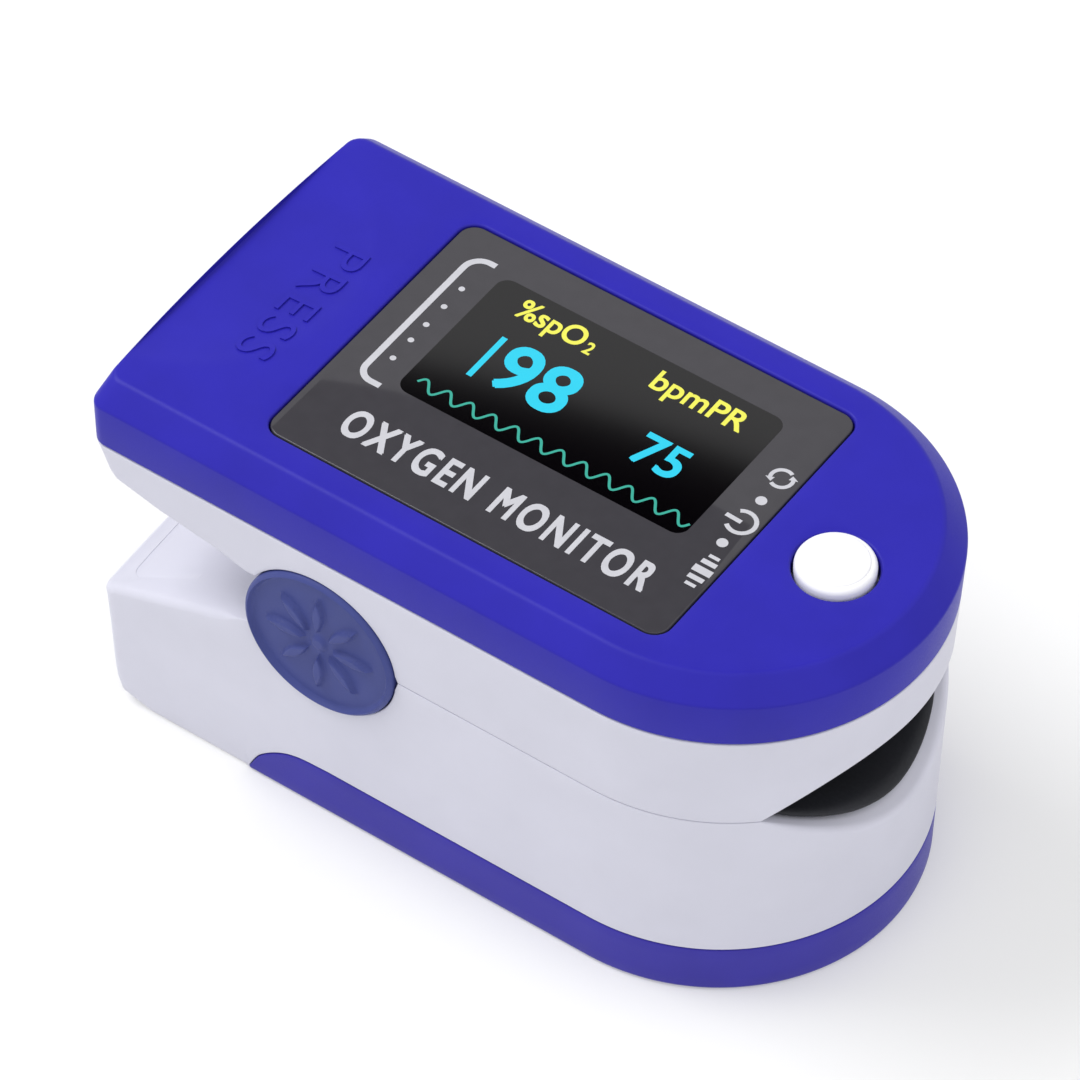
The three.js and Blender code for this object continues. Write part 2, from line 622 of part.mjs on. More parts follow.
// Ribbon cable from the sensor board, through the hinge axis, to its connector under the main board.
function sensorFlex() {
  const thickness = 0.2;
  const halfWidth = 2.5;
  const route = [
    [5.8, 12.06], [-2, 12.06], [-7.2, 12.06], [-8.8, 12.5], [-9.6, 13.6], [-9.7, 16], [-9.7, 18.4],
    [-9.7, 21], [-9.7, 23.2], [-10, 24.4], [-10.65, 24.75],
  ];
  const path = new THREE.SplineCurve(route.map(([x, z]) => new THREE.Vector2(x, z)));
  const face = path.getSpacedPoints(24);
  const back = face.map((point, i) => {
    const next = face[Math.min(i + 1, face.length - 1)];
    const last = face[Math.max(i - 1, 0)];
    const along = new THREE.Vector2().subVectors(next, last).normalize();
    return [point.x - along.y * thickness, point.y + along.x * thickness];
  });
  return prism('y', [...face.map(({ x, y }) => [x, y]), ...back.reverse()], -halfWidth, halfWidth);
}

// A self-tapping screw with a recess in its head. It is driven in from below, so its head is at its foot.
function screw(x, y, { headZ, tipZ, headRadius }) {
  const length = tipZ - headZ;
  const shank = 0.8;
  const profile = [
    [0, 0.5], [0.5, 0.5], [0.7, 0], [headRadius - 0.2, 0], [headRadius, 0.25], [headRadius, 1],
    [shank, 1], [shank, length - 0.4], [shank / 2, length], [0, length],
  ];
  return turned(profile, 10).translate([x, y, headZ]);
}

// ---------- Assembly ----------

const COLOURS = {
  blue: 0x3936b5,
  capBlue: 0x414b86,
  white: 0xdddde9,
  pad: 0x15171e,
  lens: 0x2a2a2e,
  black: 0x101012,
  button: 0xfafafc,
  board: 0x1d5a36,
  metal: 0xc0c0c4,
  steel: 0x9a9aa0,
  amber: 0xb8742a,
  cell: 0x303a44,
  foam: 0x3a3a3e,
  sensor: 0xe8e4d4,
};

function finish(colour, roughness = 0.5, metalness = 0) {
  return new THREE.MeshStandardMaterial({ color: COLOURS[colour], roughness, metalness });
}

const group = new THREE.Group();

function addPart(name, solid, material) {
  const mesh = new THREE.Mesh(toGeometry(solid), material);
  mesh.name = name;
  group.add(mesh);
}

addPart('top_cover', topCover(), finish('blue', 0.45));
addPart('display_lens', displayLens(), finish('lens', 0.08));
addPart('oled_panel', box(-13.35, 13.35, -6.9, 12.4, 29.35, 30.75), finish('black', 0.2));
addPart('oled_foam', box(-11, 11, -4, 11.2, 26.8, 29.3), finish('foam', 0.95));
addPart('oled_flex', oledFlex(), finish('amber', 0.4));
addPart('main_board', mainBoard(), finish('board', 0.5));
addPart('microcontroller', box(-23, -16, -3.5, 3.5, 26.8, 27.8), finish('black', 0.6));
addPart('signal_amplifier', box(-21, -17, 5.5, 8.5, 26.8, 28), finish('black', 0.6));
addPart('boost_inductor', box(-21, -17.5, -9, -5.5, 26.8, 28.6), finish('foam', 0.7));
addPart('power_regulator', box(17, 19.9, -9.2, -7.6, 26.8, 27.9), finish('black', 0.6));
addPart('flex_connector', box(-15, -10.9, -3.6, 3.6, 24.5, 25.7), finish('sensor', 0.6));
addPart('tact_switch_body', tactSwitchBody(), finish('metal', 0.4, 0.8));
addPart('tact_switch_plunger', rod('z', BUTTON_X, 0, 1.4, 28.65, 29.35), finish('black', 0.5));
addPart('power_button', powerButton(), finish('button', 0.35));
addPart('upper_shell', upperShell(), finish('white', 0.5));
addPart('upper_pad', fingerPad(1), finish('pad', 0.8));
addPart('emitter_led', box(WINDOW_X - 1.6, WINDOW_X + 1.6, -1.4, 1.4, 23.4, 24.5), finish('sensor', 0.3));
addPart('emitter_board', box(WINDOW_X - 5, WINDOW_X + 5, -3.5, 3.5, 24.55, 25.35), finish('board', 0.5));
addPart('side_cap_left', sideCap(1), finish('capBlue', 0.55));
addPart('side_cap_right', sideCap(-1), finish('capBlue', 0.55));
addPart('hinge_pin_left', hingePin(1), finish('steel', 0.3, 1));
addPart('hinge_pin_right', hingePin(-1), finish('steel', 0.3, 1));
addPart('torsion_spring_left', torsionSpring(1), finish('steel', 0.3, 1));
addPart('torsion_spring_right', torsionSpring(-1), finish('steel', 0.3, 1));
addPart('sensor_flex', sensorFlex(), finish('amber', 0.4));
addPart('lower_shell', lowerShell(), finish('white', 0.5));
addPart('lower_deck', lowerDeck(), finish('white', 0.5));
addPart('lower_pad', fingerPad(-1), finish('pad', 0.8));
addPart('photodiode', box(WINDOW_X - 1.6, WINDOW_X + 1.6, -1.4, 1.4, 12.45, 13.4), finish('sensor', 0.3));
addPart('sensor_board', box(6, 17, -3.2, 3.2, 11.8, 12.35), finish('board', 0.5));
addPart('battery_left', cell(CELL_Y, 1), finish('cell', 0.35, 0.6));
addPart('battery_right', cell(-CELL_Y, -1), finish('cell', 0.35, 0.6));
addPart('bridge_contact', bridgeContact(), finish('metal', 0.3, 1));
addPart('positive_contact', positiveContact(), finish('metal', 0.3, 1));
addPart('negative_contact', negativeContact(), finish('metal', 0.3, 1));
addPart('battery_door', batteryDoor(), finish('blue', 0.45));
upperScrewSites.forEach(([x, y], i) => {
  addPart(`upper_screw_${i + 1}`, screw(x, y, UPPER_SCREW), finish('steel', 0.35, 1));
});
lowerScrewSites.forEach(([x, y], i) => {
  addPart(`lower_screw_${i + 1}`, screw(x, y, LOWER_SCREW), finish('steel', 0.35, 1));
});

export default group;
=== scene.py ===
"""Looks of the fingertip pulse oximeter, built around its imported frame.

Lengths are in millimetres until a mesh is made, where MM turns them into metres.
+X points to the finger opening, +Z up, and the camera stands on the -Y side.
"""

import json
import math
from contextlib import contextmanager

import bmesh
import bpy
import numpy as np
from mathutils import Matrix, Vector
from mathutils.geometry import delaunay_2d_cdt


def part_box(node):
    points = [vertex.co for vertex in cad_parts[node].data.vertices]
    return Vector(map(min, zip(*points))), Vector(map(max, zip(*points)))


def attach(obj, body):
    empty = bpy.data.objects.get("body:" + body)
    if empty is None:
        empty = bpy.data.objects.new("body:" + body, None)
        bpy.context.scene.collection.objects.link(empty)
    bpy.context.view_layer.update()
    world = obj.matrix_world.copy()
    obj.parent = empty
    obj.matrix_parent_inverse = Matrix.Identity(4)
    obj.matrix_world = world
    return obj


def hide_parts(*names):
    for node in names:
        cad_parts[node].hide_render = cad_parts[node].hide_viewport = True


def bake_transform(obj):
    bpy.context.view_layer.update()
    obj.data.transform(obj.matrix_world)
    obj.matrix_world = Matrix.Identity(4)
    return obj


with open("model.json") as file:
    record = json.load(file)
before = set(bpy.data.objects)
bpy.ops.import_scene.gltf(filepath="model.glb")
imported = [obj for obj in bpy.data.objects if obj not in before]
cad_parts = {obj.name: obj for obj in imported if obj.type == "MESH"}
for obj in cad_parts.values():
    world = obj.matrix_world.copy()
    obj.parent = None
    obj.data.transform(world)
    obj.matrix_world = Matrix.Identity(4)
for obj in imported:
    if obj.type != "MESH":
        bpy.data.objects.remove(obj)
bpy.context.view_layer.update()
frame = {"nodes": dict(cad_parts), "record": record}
bpy.context.scene.view_settings.view_transform = "Standard"

MM = 0.001


def mm_box(node):
    """Lowest and highest corner of a CAD node, in millimetres."""
    low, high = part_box(node)
    return np.array(low) / MM, np.array(high) / MM


# ---------- Sizes, from the frame ----------

cover_low, cover_high = mm_box("top_cover")
_, upper_high = mm_box("upper_shell")
_, lower_high = mm_box("lower_shell")
_, door_high = mm_box("battery_door")
cap_low, cap_high = mm_box("side_cap_right")
lens_low, lens_high = mm_box("display_lens")
button_low, button_high = mm_box("power_button")
pad_low, pad_high = mm_box("lower_pad")

HALF_WIDTH = cover_high[1]
FRONT_X = cover_high[0]
FRONT_CENTRE = FRONT_X - HALF_WIDTH
BACK_X = cover_low[0]
TOP_Z = cover_high[2]
COVER_SEAM = (cover_low[2] + upper_high[2]) / 2
PARTING = lower_high[2] + 0.05
DOOR_TOP = door_high[2]
BEVEL = 1.7
BEVEL_BACK = 0.55
SEAM = 0.05
WALL = 1.35
# The drawn walls reach a little deeper than the CAD's, so that no two faces coincide.
SKIN_WALL = WALL + 0.1
CORE_INSET = WALL + 0.05
CORNER = 1.2
BULGE = 0.45

HINGE = (cap_low + cap_high) / 2 * [1, 0, 1]
CAP_RADIUS = (cap_high[2] - cap_low[2]) / 2
NOTCH = CAP_RADIUS + 0.1
BUTTON_X = (button_low[0] + button_high[0]) / 2
BUTTON_RADIUS = 2.9

MOUTH_HALF = 11.7

# Each jaw's shapes, by its sign: 1 for the upper jaw and -1 for the lower one.
MOUTH_REACH = {1: 3.75, -1: 5.3}
MOUTH_POWER = {1: 2.8, -1: 1.7}
REAR_LINE = {
    1: (
        [-28.9, -28.2, -27.3, -26.1, -23.6, -19.9, -17.6, -16.1],
        [25.3, 24.6, 24.15, 23.85, 23.2, 22.6, 22.2, 21.8],
    ),
    -1: ([-30, -16.1], [11.25, 16.4]),
}
# How far each jaw's wall laps over the panel behind it.
LAP = {1: 0, -1: 0.1}
REAR_END = -17.0
EDGE_PLAY = 0.02
# The inner line of the mouth's rolled lip, inside the rim.
LIP_RADIUS = HALF_WIDTH - 1.9
LIP_NARROWING = 0.955
LIP_DROP = 0.45
# The drawn door stops DOOR_DROP below the joint, and the shell starts SHELL_RISE above it.
DOOR_FOOT = 0.02
DOOR_DROP = 0.02
SHELL_RISE = 0.08
DOOR_END = ([-16.4, -16.2, -15.3, -13.6, -11.8, -9.2], [0, 0.5, 2.1, 3.5, 4.2, DOOR_TOP])


# ---------- Camera ----------

AZIMUTH = math.radians(33.71)
ELEVATION = math.radians(47.89)
ROLL = math.radians(1.64)
CAMERA_PLACE = (178.17, -270.24, 379.0)
FOCAL_LENGTH = 227.35


def new_object(name, data):
    obj = bpy.data.objects.new(name, data)
    bpy.context.scene.collection.objects.link(obj)
    return obj


def camera():
    data = bpy.data.cameras.new("camera")
    data.sensor_width = 36
    data.lens = FOCAL_LENGTH
    data.clip_start = 0.01
    data.clip_end = 10
    obj = new_object("camera", data)
    obj.matrix_world = Matrix.Translation(Vector(CAMERA_PLACE) * MM)
    for angle, axis in ((AZIMUTH, "Z"), (math.pi / 2 - ELEVATION, "X"), (ROLL, "Z")):
        obj.matrix_world @= Matrix.Rotation(angle, 4, axis)
    bpy.context.scene.camera = obj


camera()


# ---------- Materials ----------

MATERIALS = {}
NOISE_LOW, NOISE_HIGH = 0.3, 0.7
BUMP_DEPTH = 0.01


class Surface:
    """A Principled material, listed in MATERIALS by its name. Noise pitches are in millimetres."""

    def __init__(self, name):
        material = bpy.data.materials.new(name)
        material.use_nodes = True
        self.nodes = material.node_tree.nodes
        self.links = material.node_tree.links
        self.shader = self.nodes["Principled BSDF"]
        MATERIALS[name] = material

    def set(self, **values):
        """Sets the shader's own sockets; an underscore stands for a space in a socket's name."""
        for socket, value in values.items():
            self.shader.inputs[socket.replace("_", " ")].default_value = value

    def textured(self, kind, scale):
        """A texture node laid out in the object's own space."""
        texture = self.nodes.new(kind)
        texture.inputs["Scale"].default_value = scale
        place = self.nodes.new("ShaderNodeTexCoord").outputs["Object"]
        self.links.new(place, texture.inputs["Vector"])
        return texture

    def noise(self, pitch, detail):
        texture = self.textured("ShaderNodeTexNoise", 1 / (pitch * MM))
        texture.inputs["Detail"].default_value = detail
        texture.inputs["Roughness"].default_value = 0.5
        return texture.outputs["Fac"]

    def spread(self, source, low, high):
        """Maps a noise value to the span from low to high."""
        node = self.nodes.new("ShaderNodeMapRange")
        limits = {"From Min": NOISE_LOW, "From Max": NOISE_HIGH, "To Min": low, "To Max": high}
        for socket, value in limits.items():
            node.inputs[socket].default_value = value
        self.links.new(source, node.inputs["Value"])
        return node.outputs["Result"]

    def mottle(self, colour, darker, lighter, pitch, detail):
        """Drifts the base colour between two shades of one colour."""
        tint = self.nodes.new("ShaderNodeMix")
        tint.data_type = "RGBA"
        for socket, share in (("A", darker), ("B", lighter)):
            tint.inputs[socket].default_value = [min(1, c * share) for c in colour] + [1]
        self.links.new(self.spread(self.noise(pitch, detail), 0.0, 1.0), tint.inputs["Factor"])
        self.links.new(tint.outputs["Result"], self.shader.inputs["Base Color"])

    def roughen(self, source, low, high):
        self.links.new(self.spread(source, low, high), self.shader.inputs["Roughness"])

    def bump(self, source, strength):
        node = self.nodes.new("ShaderNodeBump")
        node.inputs["Strength"].default_value = strength
        node.inputs["Distance"].default_value = BUMP_DEPTH * MM
        self.links.new(source, node.inputs["Height"])
        self.links.new(node.outputs["Normal"], self.shader.inputs["Normal"])


def moulded(name, colour, roughness, grain=0.25, grain_size=0.12, mottle=0.06, coat=0.0, specular=0.5):
    """Moulded plastic or rubber: a fine spark-eroded grain, faint mottling and uneven gloss.

    grain is the bump's strength and grain_size its pitch in millimetres.
    """
    surface = Surface(name)
    fine = surface.noise(grain_size, 2.0)
    surface.mottle(colour, 1 - mottle, 1 + mottle, 5, 4.0)
    surface.roughen(fine, roughness - 0.05, roughness + 0.05)
    surface.bump(fine, grain)
    surface.set(Specular_IOR_Level=specular, Coat_Weight=coat, Coat_Roughness=0.12)


def metal(name, colour, roughness, brushed=0.0):
    """Bare or plated metal, with fine drawn streaks where brushed is above 0."""
    surface = Surface(name)
    grain = surface.noise(0.25, 3.0)
    surface.roughen(grain, roughness - 0.06, roughness + 0.08)
    surface.mottle(colour, 0.88, 1, 2, 2.0)
    surface.set(Metallic=1)
    if brushed:
        surface.bump(grain, brushed)


def glossy_print(name, colour, emission=None, glow=0.0, roughness=0.12, ior=1.42):
    """Ink, or a lit pixel area, under the lens's polished face."""
    surface = Surface(name)
    surface.mottle(colour, 0.96, 1.04, 1.2, 3.0)
    surface.set(Roughness=roughness, IOR=ior)
    if emission:
        surface.set(Emission_Color=list(emission) + [1], Emission_Strength=glow)


def circuit_board(name):
    """Solder mask over copper tracks: a blocky pattern of two greens."""
    surface = Surface(name)
    tracks = surface.textured("ShaderNodeTexBrick", 1 / (3 * MM))
    tracks.inputs["Mortar Size"].default_value = 0.03
    tracks.inputs["Color1"].default_value = (0.012, 0.09, 0.035, 1)
    tracks.inputs["Color2"].default_value = (0.016, 0.11, 0.045, 1)
    tracks.inputs["Mortar"].default_value = (0.04, 0.2, 0.08, 1)
    surface.links.new(tracks.outputs["Color"], surface.shader.inputs["Base Color"])
    surface.set(Roughness=0.35, Coat_Weight=0.4)


BLUE = (0.022, 0.017, 0.35)
DOOR_BLUE = (0.04, 0.032, 0.32)
CAP_BLUE = (0.05, 0.064, 0.23)
WHITE = (0.6, 0.6, 0.69)

moulded("cover_blue", BLUE, 0.42, grain=0.3, mottle=0.05, specular=0.15)
moulded("door_blue", DOOR_BLUE, 0.4, grain=0.3, mottle=0.05, specular=0.15)
moulded("cap_blue", CAP_BLUE, 0.5, grain=0.35, mottle=0.05, specular=0.2)
moulded("shell_white", WHITE, 0.48, grain=0.25, mottle=0.02, specular=0.3)
moulded("button_white", (0.9, 0.9, 0.92), 0.35, grain=0.1, mottle=0.01)
moulded("pad_black", (0.012, 0.013, 0.018), 0.6, grain=0.6, grain_size=0.3, mottle=0.2, specular=0.35)
glossy_print("lens_smoke", (0.046, 0.044, 0.051), roughness=0.04, ior=1.34)
glossy_print("display_glass", (0.001, 0.0006, 0.0012), roughness=0.04, ior=1.46)
glossy_print("print_white", (0.5, 0.5, 0.54), roughness=0.3)
glossy_print("glow_cyan", (0.01, 0.12, 0.15), (0.015, 0.52, 0.72), 1.0)
glossy_print("glow_yellow", (0.3, 0.3, 0.02), (0.6, 0.59, 0.1), 0.9)
glossy_print("glow_teal", (0.01, 0.1, 0.08), (0.04, 0.35, 0.27), 0.9)
moulded("foam_black", (0.02, 0.02, 0.022), 0.95, grain=1.0, grain_size=0.5, mottle=0.3)
moulded("film_amber", (0.34, 0.13, 0.02), 0.3, grain=0.05, mottle=0.12, coat=0.5)
circuit_board("board_green")
moulded("chip_black", (0.012, 0.012, 0.013), 0.6, grain=0.5, mottle=0.2)
moulded("ferrite_grey", (0.03, 0.03, 0.033), 0.7, grain=0.6, mottle=0.2)
moulded("connector_cream", (0.72, 0.68, 0.53), 0.5, mottle=0.03)
moulded("sensor_resin", (0.6, 0.56, 0.45), 0.15, grain=0.05, mottle=0.05, coat=0.6)
metal("contact_metal", (0.62, 0.62, 0.63), 0.25)
metal("hinge_steel", (0.42, 0.42, 0.44), 0.3, brushed=0.3)
metal("screw_steel", (0.34, 0.34, 0.36), 0.35, brushed=0.2)
moulded("cell_wrap", (0.03, 0.045, 0.07), 0.25, grain=0.1, mottle=0.15, coat=0.3)


# Every CAD node takes the material of its slot in the record.
for entry in frame["record"]["subparts"]:
    slots = frame["nodes"][entry["node"]].data.materials
    slots.clear()
    slots.append(MATERIALS[entry["material_slot"]])


# ---------- Mesh helpers ----------

def new_mesh(name, verts, faces):
    """A mesh from points in millimetres."""
    mesh = bpy.data.meshes.new(name)
    points = (np.asarray(verts, float) * MM).tolist()
    mesh.from_pydata(points, [], [[int(i) for i in face] for face in faces])
    mesh.update()
    return mesh


@contextmanager
def editing(mesh):
    """Opens a mesh for bmesh operations and writes it back."""
    work = bmesh.new()
    work.from_mesh(mesh)
    yield work
    work.to_mesh(mesh)
    work.free()
    mesh.update()


def shade_smooth(mesh, sharp):
    """Smooth shading, broken at edges that turn by more than sharp degrees."""
    mesh.polygons.foreach_set("use_smooth", [True] * len(mesh.polygons))
    mesh.set_sharp_from_angle(angle=math.radians(sharp))


def piece(name, verts, faces, body, slot, replaces=(), material=None, smooth=True, sharp=40):
    """A mesh object from points in millimetres, riding on a body.

    Where smooth, touching vertices are merged, collapsed faces dropped and all faces turned outward.
    """
    mesh = new_mesh(name, verts, faces)
    obj = new_object(name, mesh)
    if smooth:
        with editing(mesh) as work:
            bmesh.ops.remove_doubles(work, verts=work.verts, dist=0.004 * MM)
            bmesh.ops.dissolve_degenerate(work, edges=work.edges, dist=0.002 * MM)
            bmesh.ops.recalc_face_normals(work, faces=work.faces)
        shade_smooth(mesh, sharp)
    mesh.materials.append(MATERIALS[material or slot])
    if replaces:
        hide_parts(*replaces)
    if body:
        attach(obj, body)
    return obj


def grid(rows, closed_rows=False, closed_columns=True):
    """Vertices and quads of a sheet through rows of points, joined end to end where closed."""
    rows = [np.asarray(row, float) for row in rows]
    count = len(rows[0])
    faces = []
    last_row = len(rows) if closed_rows else len(rows) - 1
    last_column = count if closed_columns else count - 1
    for row in range(last_row):
        here, above = row * count, (row + 1) % len(rows) * count
        for left in range(last_column):
            right = (left + 1) % count
            faces.append((here + left, here + right, above + right, above + left))
    return np.concatenate(rows), faces


def joined(*parts):
    """Several (vertices, faces) pairs as one."""
    verts = []
    faces = []
    offset = 0
    for part_verts, part_faces in parts:
        verts.append(np.asarray(part_verts, float))
        faces += [tuple(i + offset for i in face) for face in part_faces]
        offset += len(part_verts)
    return np.concatenate(verts), faces


def lathe(profile, segments):
    """Turns (radius, height) pairs about Z."""
    return grid([at_height(circle(0, 0, radius, segments), height) for radius, height in profile])


def circle(x, y, radius, count):
    return arc(x, y, radius, 0, 360 - 360 / count, count)


def at_height(loop, height):
    """A 2-D loop set at a height, or at one height for each of its points."""
    return np.column_stack([loop, np.full(len(loop), height)])


def quarter(steps):
    """Cosine and sine at even steps through a quarter turn."""
    angles = [math.pi / 2 * i / steps for i in range(steps + 1)]
    return [(math.cos(angle), math.sin(angle)) for angle in angles]


def fillet(points, radii, steps):
    """A polyline of 2-D points with each inner corner rounded by its radius."""
    points = [np.array(p, float) for p in points]
    out = [points[0]]
    for before, corner, after, radius in zip(points, points[1:], points[2:], radii):
        a = unit(before - corner)
        b = unit(after - corner)
        half = math.acos(max(-1, min(1, float(a @ b)))) / 2
        if radius <= 0 or half > math.pi / 2 - 1e-3:
            out.append(corner)
            continue
        reach = radius / math.tan(half)
        centre = corner + unit(a + b) * radius / math.sin(half)
        start = corner + a * reach - centre
        end = corner + b * reach - centre
        turn = math.atan2(start[0] * end[1] - start[1] * end[0], float(start @ end))
        for i in range(steps + 1):
            angle = turn * i / steps
            cos, sin = math.cos(angle), math.sin(angle)
            out.append(centre + np.array([cos * start[0] - sin * start[1], sin * start[0] + cos * start[1]]))
    out.append(points[-1])
    return out


def rounded_rectangle(x0, x1, y0, y1, radius):
    left, right, near, far = x0 + radius, x1 - radius, y0 + radius, y1 - radius
    corners = [(right, far), (left, far), (left, near), (right, near)]
    return np.concatenate([arc(x, y, radius, 90 * i, 90 * i + 90, 9) for i, (x, y) in enumerate(corners)])


def arc(x, y, radius, start, end, count=24):
    angles = np.radians(np.linspace(start, end, count))
    return np.column_stack([x + radius * np.cos(angles), y + radius * np.sin(angles)])


def unit(vectors):
    """Vectors scaled to length 1."""
    return vectors / np.linalg.norm(vectors, axis=-1, keepdims=True)


def beside(points):
    """The unit direction square to a 2-D line at each of its points, on its left."""
    ahead = np.gradient(points, axis=0)
    return unit(np.column_stack([-ahead[:, 1], ahead[:, 0]]))


def resampled(loop, spacing):
    """A closed 2-D loop with extra points, so that none of its sides is longer than spacing."""
    points = []
    for a, b in zip(loop, np.roll(loop, -1, axis=0)):
        count = max(1, math.ceil(np.linalg.norm(b - a) / spacing))
        points += [a + (b - a) * i / count for i in range(count)]
    return np.array(points)


def inside(points, loop):
    """Which 2-D points lie inside a closed loop."""
    x, y = points[:, 0], points[:, 1]
    result = np.zeros(len(points), bool)
    for a, b in zip(loop, np.roll(loop, -1, axis=0)):
        if a[1] == b[1]:
            continue
        crosses = (a[1] > y) != (b[1] > y)
        result ^= crosses & (x < (b[0] - a[0]) * (y - a[1]) / (b[1] - a[1]) + a[0])
    return result


def between(points, outer, holes):
    """Which 2-D points lie inside the outer loop and in none of its holes."""
    keep = inside(points, outer)
    for hole in holes:
        keep &= ~inside(points, hole)
    return keep


def distance_to(points, loop):
    """Distance of 2-D points from the nearest point of a loop."""
    gaps = points[:, None, :] - loop[None, :, :]
    return np.sqrt((gaps ** 2).sum(2)).min(1)


# The least distance of a sheet's inner points from its loops.
CLEARANCE = 0.3


def patch(outer, holes, height, spacing, fine=None):
    """A level or gently dished sheet between an outer loop and its holes, at height(x, y).

    fine is (test, spacing): where test(x, y) holds, the points lie closer together.
    """
    low, high = outer.min(0), outer.max(0)
    seeds = [grid_points(low, high, spacing)]
    if fine:
        test, fine_spacing = fine
        dense = grid_points(low, high, fine_spacing)
        seeds = [seeds[0][~test(*seeds[0].T)], dense[test(*dense.T)]]
    seeds = np.concatenate(seeds)
    loops = [outer, *holes]
    keep = between(seeds, outer, holes)
    for loop in loops:
        keep &= distance_to(seeds, resampled(loop, CLEARANCE)) > CLEARANCE
    points = [Vector(p) for p in np.concatenate([*loops, seeds[keep]])]
    edges = []
    start = 0
    for loop in loops:
        edges += [(start + i, start + (i + 1) % len(loop)) for i in range(len(loop))]
        start += len(loop)
    flat, _, triangles, *_ = delaunay_2d_cdt(points, edges, [], 0, 1e-7)
    flat = np.array([tuple(p) for p in flat])
    triangles = np.array([t for t in triangles if len(t) == 3])
    keep = between(flat[triangles].mean(1), outer, holes)
    return at_height(flat, height(*flat.T)), [tuple(t) for t in triangles[keep]]


def grid_points(low, high, spacing):
    axes = [np.arange(start + spacing / 2, end, spacing) for start, end in zip(low, high)]
    return np.stack(np.meshgrid(*axes), -1).reshape(-1, 2)


# ---------- The drafted outer skin ----------

SIDE_END = -20.0


def make_columns():
    """The stations round the outline, as (kind, value, side), anticlockwise from the near end of the nose."""
    front = [("front", angle, 0) for angle in np.linspace(-math.pi / 2, math.pi / 2, 121)]
    even = np.arange(SIDE_END, FRONT_CENTRE, 0.5)
    round_cap = HINGE[0] + NOTCH * np.cos(np.radians(np.arange(2, 180, 4)))
    door_end = np.linspace(DOOR_END[0][0], DOOR_END[0][-1], 24)
    near_cap = np.abs(even - HINGE[0]) < NOTCH
    xs = np.unique(np.round(np.concatenate([even[~near_cap], round_cap, door_end]), 3))
    xs = xs[np.concatenate([[True], np.diff(xs) > 0.04])]
    far = [("side", x, 1) for x in xs[::-1]]
    far += [("loose", share, 1) for share in np.linspace(0, 1, 18)[1:-1]]
    far += [("corner", angle, 1) for angle in np.linspace(math.pi / 2, math.pi, 10)]
    back = [("back", share, 0) for share in np.linspace(1, -1, 32)[1:-1]]
    near = [(kind, 2 * math.pi - value if kind == "corner" else value, -1) for kind, value, _ in far[::-1]]
    return front + far + back + near


COLUMNS = make_columns()
KIND, VALUE, SIDE = [np.array(values) for values in zip(*COLUMNS)]
FRONT, SIDES, LOOSE, CORNERS = [KIND == kind for kind in ("front", "side", "loose", "corner")]
TURNED = FRONT | CORNERS
ON_SIDE = SIDES | LOOSE
NORMALS = np.column_stack([
    np.select([TURNED, ON_SIDE], [np.cos(VALUE), 0 * VALUE], -1),
    np.select([TURNED, ON_SIDE], [np.sin(VALUE), SIDE], 0),
    0 * VALUE,
])


class Skin:
    """An outer surface whose half width and back end change with height."""

    def __init__(self, halves, backs):
        self.halves = np.array(halves, float).T
        self.backs = np.array(backs, float).T

    def at(self, z, inset=0.0):
        """Points of every column at the heights z, moved in by inset."""
        z = np.broadcast_to(np.asarray(z, float), len(COLUMNS))
        half = np.interp(z, *self.halves) - inset
        back = np.interp(z, *self.backs) + inset
        corner_x = back + BULGE + CORNER
        x = np.select([FRONT, SIDES, LOOSE, CORNERS], [
            FRONT_CENTRE + half * np.cos(VALUE),
            VALUE,
            SIDE_END + (corner_x - SIDE_END) * VALUE,
            corner_x + CORNER * np.cos(VALUE),
        ], back + BULGE * VALUE ** 2)
        y = np.select([FRONT, ON_SIDE, CORNERS], [
            half * np.sin(VALUE),
            SIDE * half,
            SIDE * (half - CORNER) + CORNER * np.sin(VALUE),
        ], (half - CORNER) * VALUE)
        return np.column_stack([x, y, z])

    def edge(self, rule):
        """The line where the skin meets the height rule(x, y)."""
        points = self.at(PARTING)
        for _ in range(12):
            points = self.at(rule(points[:, 0], points[:, 1]))
        return points

    def on(self, points):
        """Points moved sideways onto the skin."""
        result = self.at(points[:, 2])
        result[SIDES, 0] = points[SIDES, 0]
        nose = points[FRONT]
        angle = np.arctan2(nose[:, 1], nose[:, 0] - FRONT_CENTRE)
        half = np.interp(nose[:, 2], *self.halves)
        result[FRONT, 0] = FRONT_CENTRE + half * np.cos(angle)
        result[FRONT, 1] = half * np.sin(angle)
        return result


UPPER_SKIN = Skin(
    [(PARTING - 1, HALF_WIDTH - 0.4), (upper_high[2], upper_high[1])],
    [(PARTING, -28.8), (24.3, -28.8), (25.2, -29.15), (COVER_SEAM, -29.9)],
)
LOWER_SKIN = Skin(
    [(0, door_high[1] - 0.24), (0.06, door_high[1] - 0.13), (0.15, door_high[1] - 0.05),
     (0.35, door_high[1]), (PARTING, lower_high[1])],
    [(0, -26.9), (0.12, -27.5), (0.35, -28.2), (0.7, -28.65), (1.1, -28.95), (1.9, -29.2), (3, -29.35),
     (7.25, -29.6), (11.4, -29.9), (PARTING, -29.9)],
)


def wrapped_edge(edge, radius, side, inner_end=None):
    """Rows that roll a wall's edge over by a radius and carry it inward, by SKIN_WALL or to inner_end.

    side is -1 for a lower edge and 1 for an upper one.
    """
    along = unit(np.roll(edge, -1, axis=0) - np.roll(edge, 1, axis=0))
    out = unit(np.cross(along, NORMALS) * -side)
    radius = np.broadcast_to(radius, len(edge))[:, None]
    centre = edge - radius * (out + NORMALS)
    rows = [centre + radius * (NORMALS * cos + out * sin) for cos, sin in quarter(4)]
    rows.append(edge - SKIN_WALL * NORMALS if inner_end is None else inner_end)
    return rows


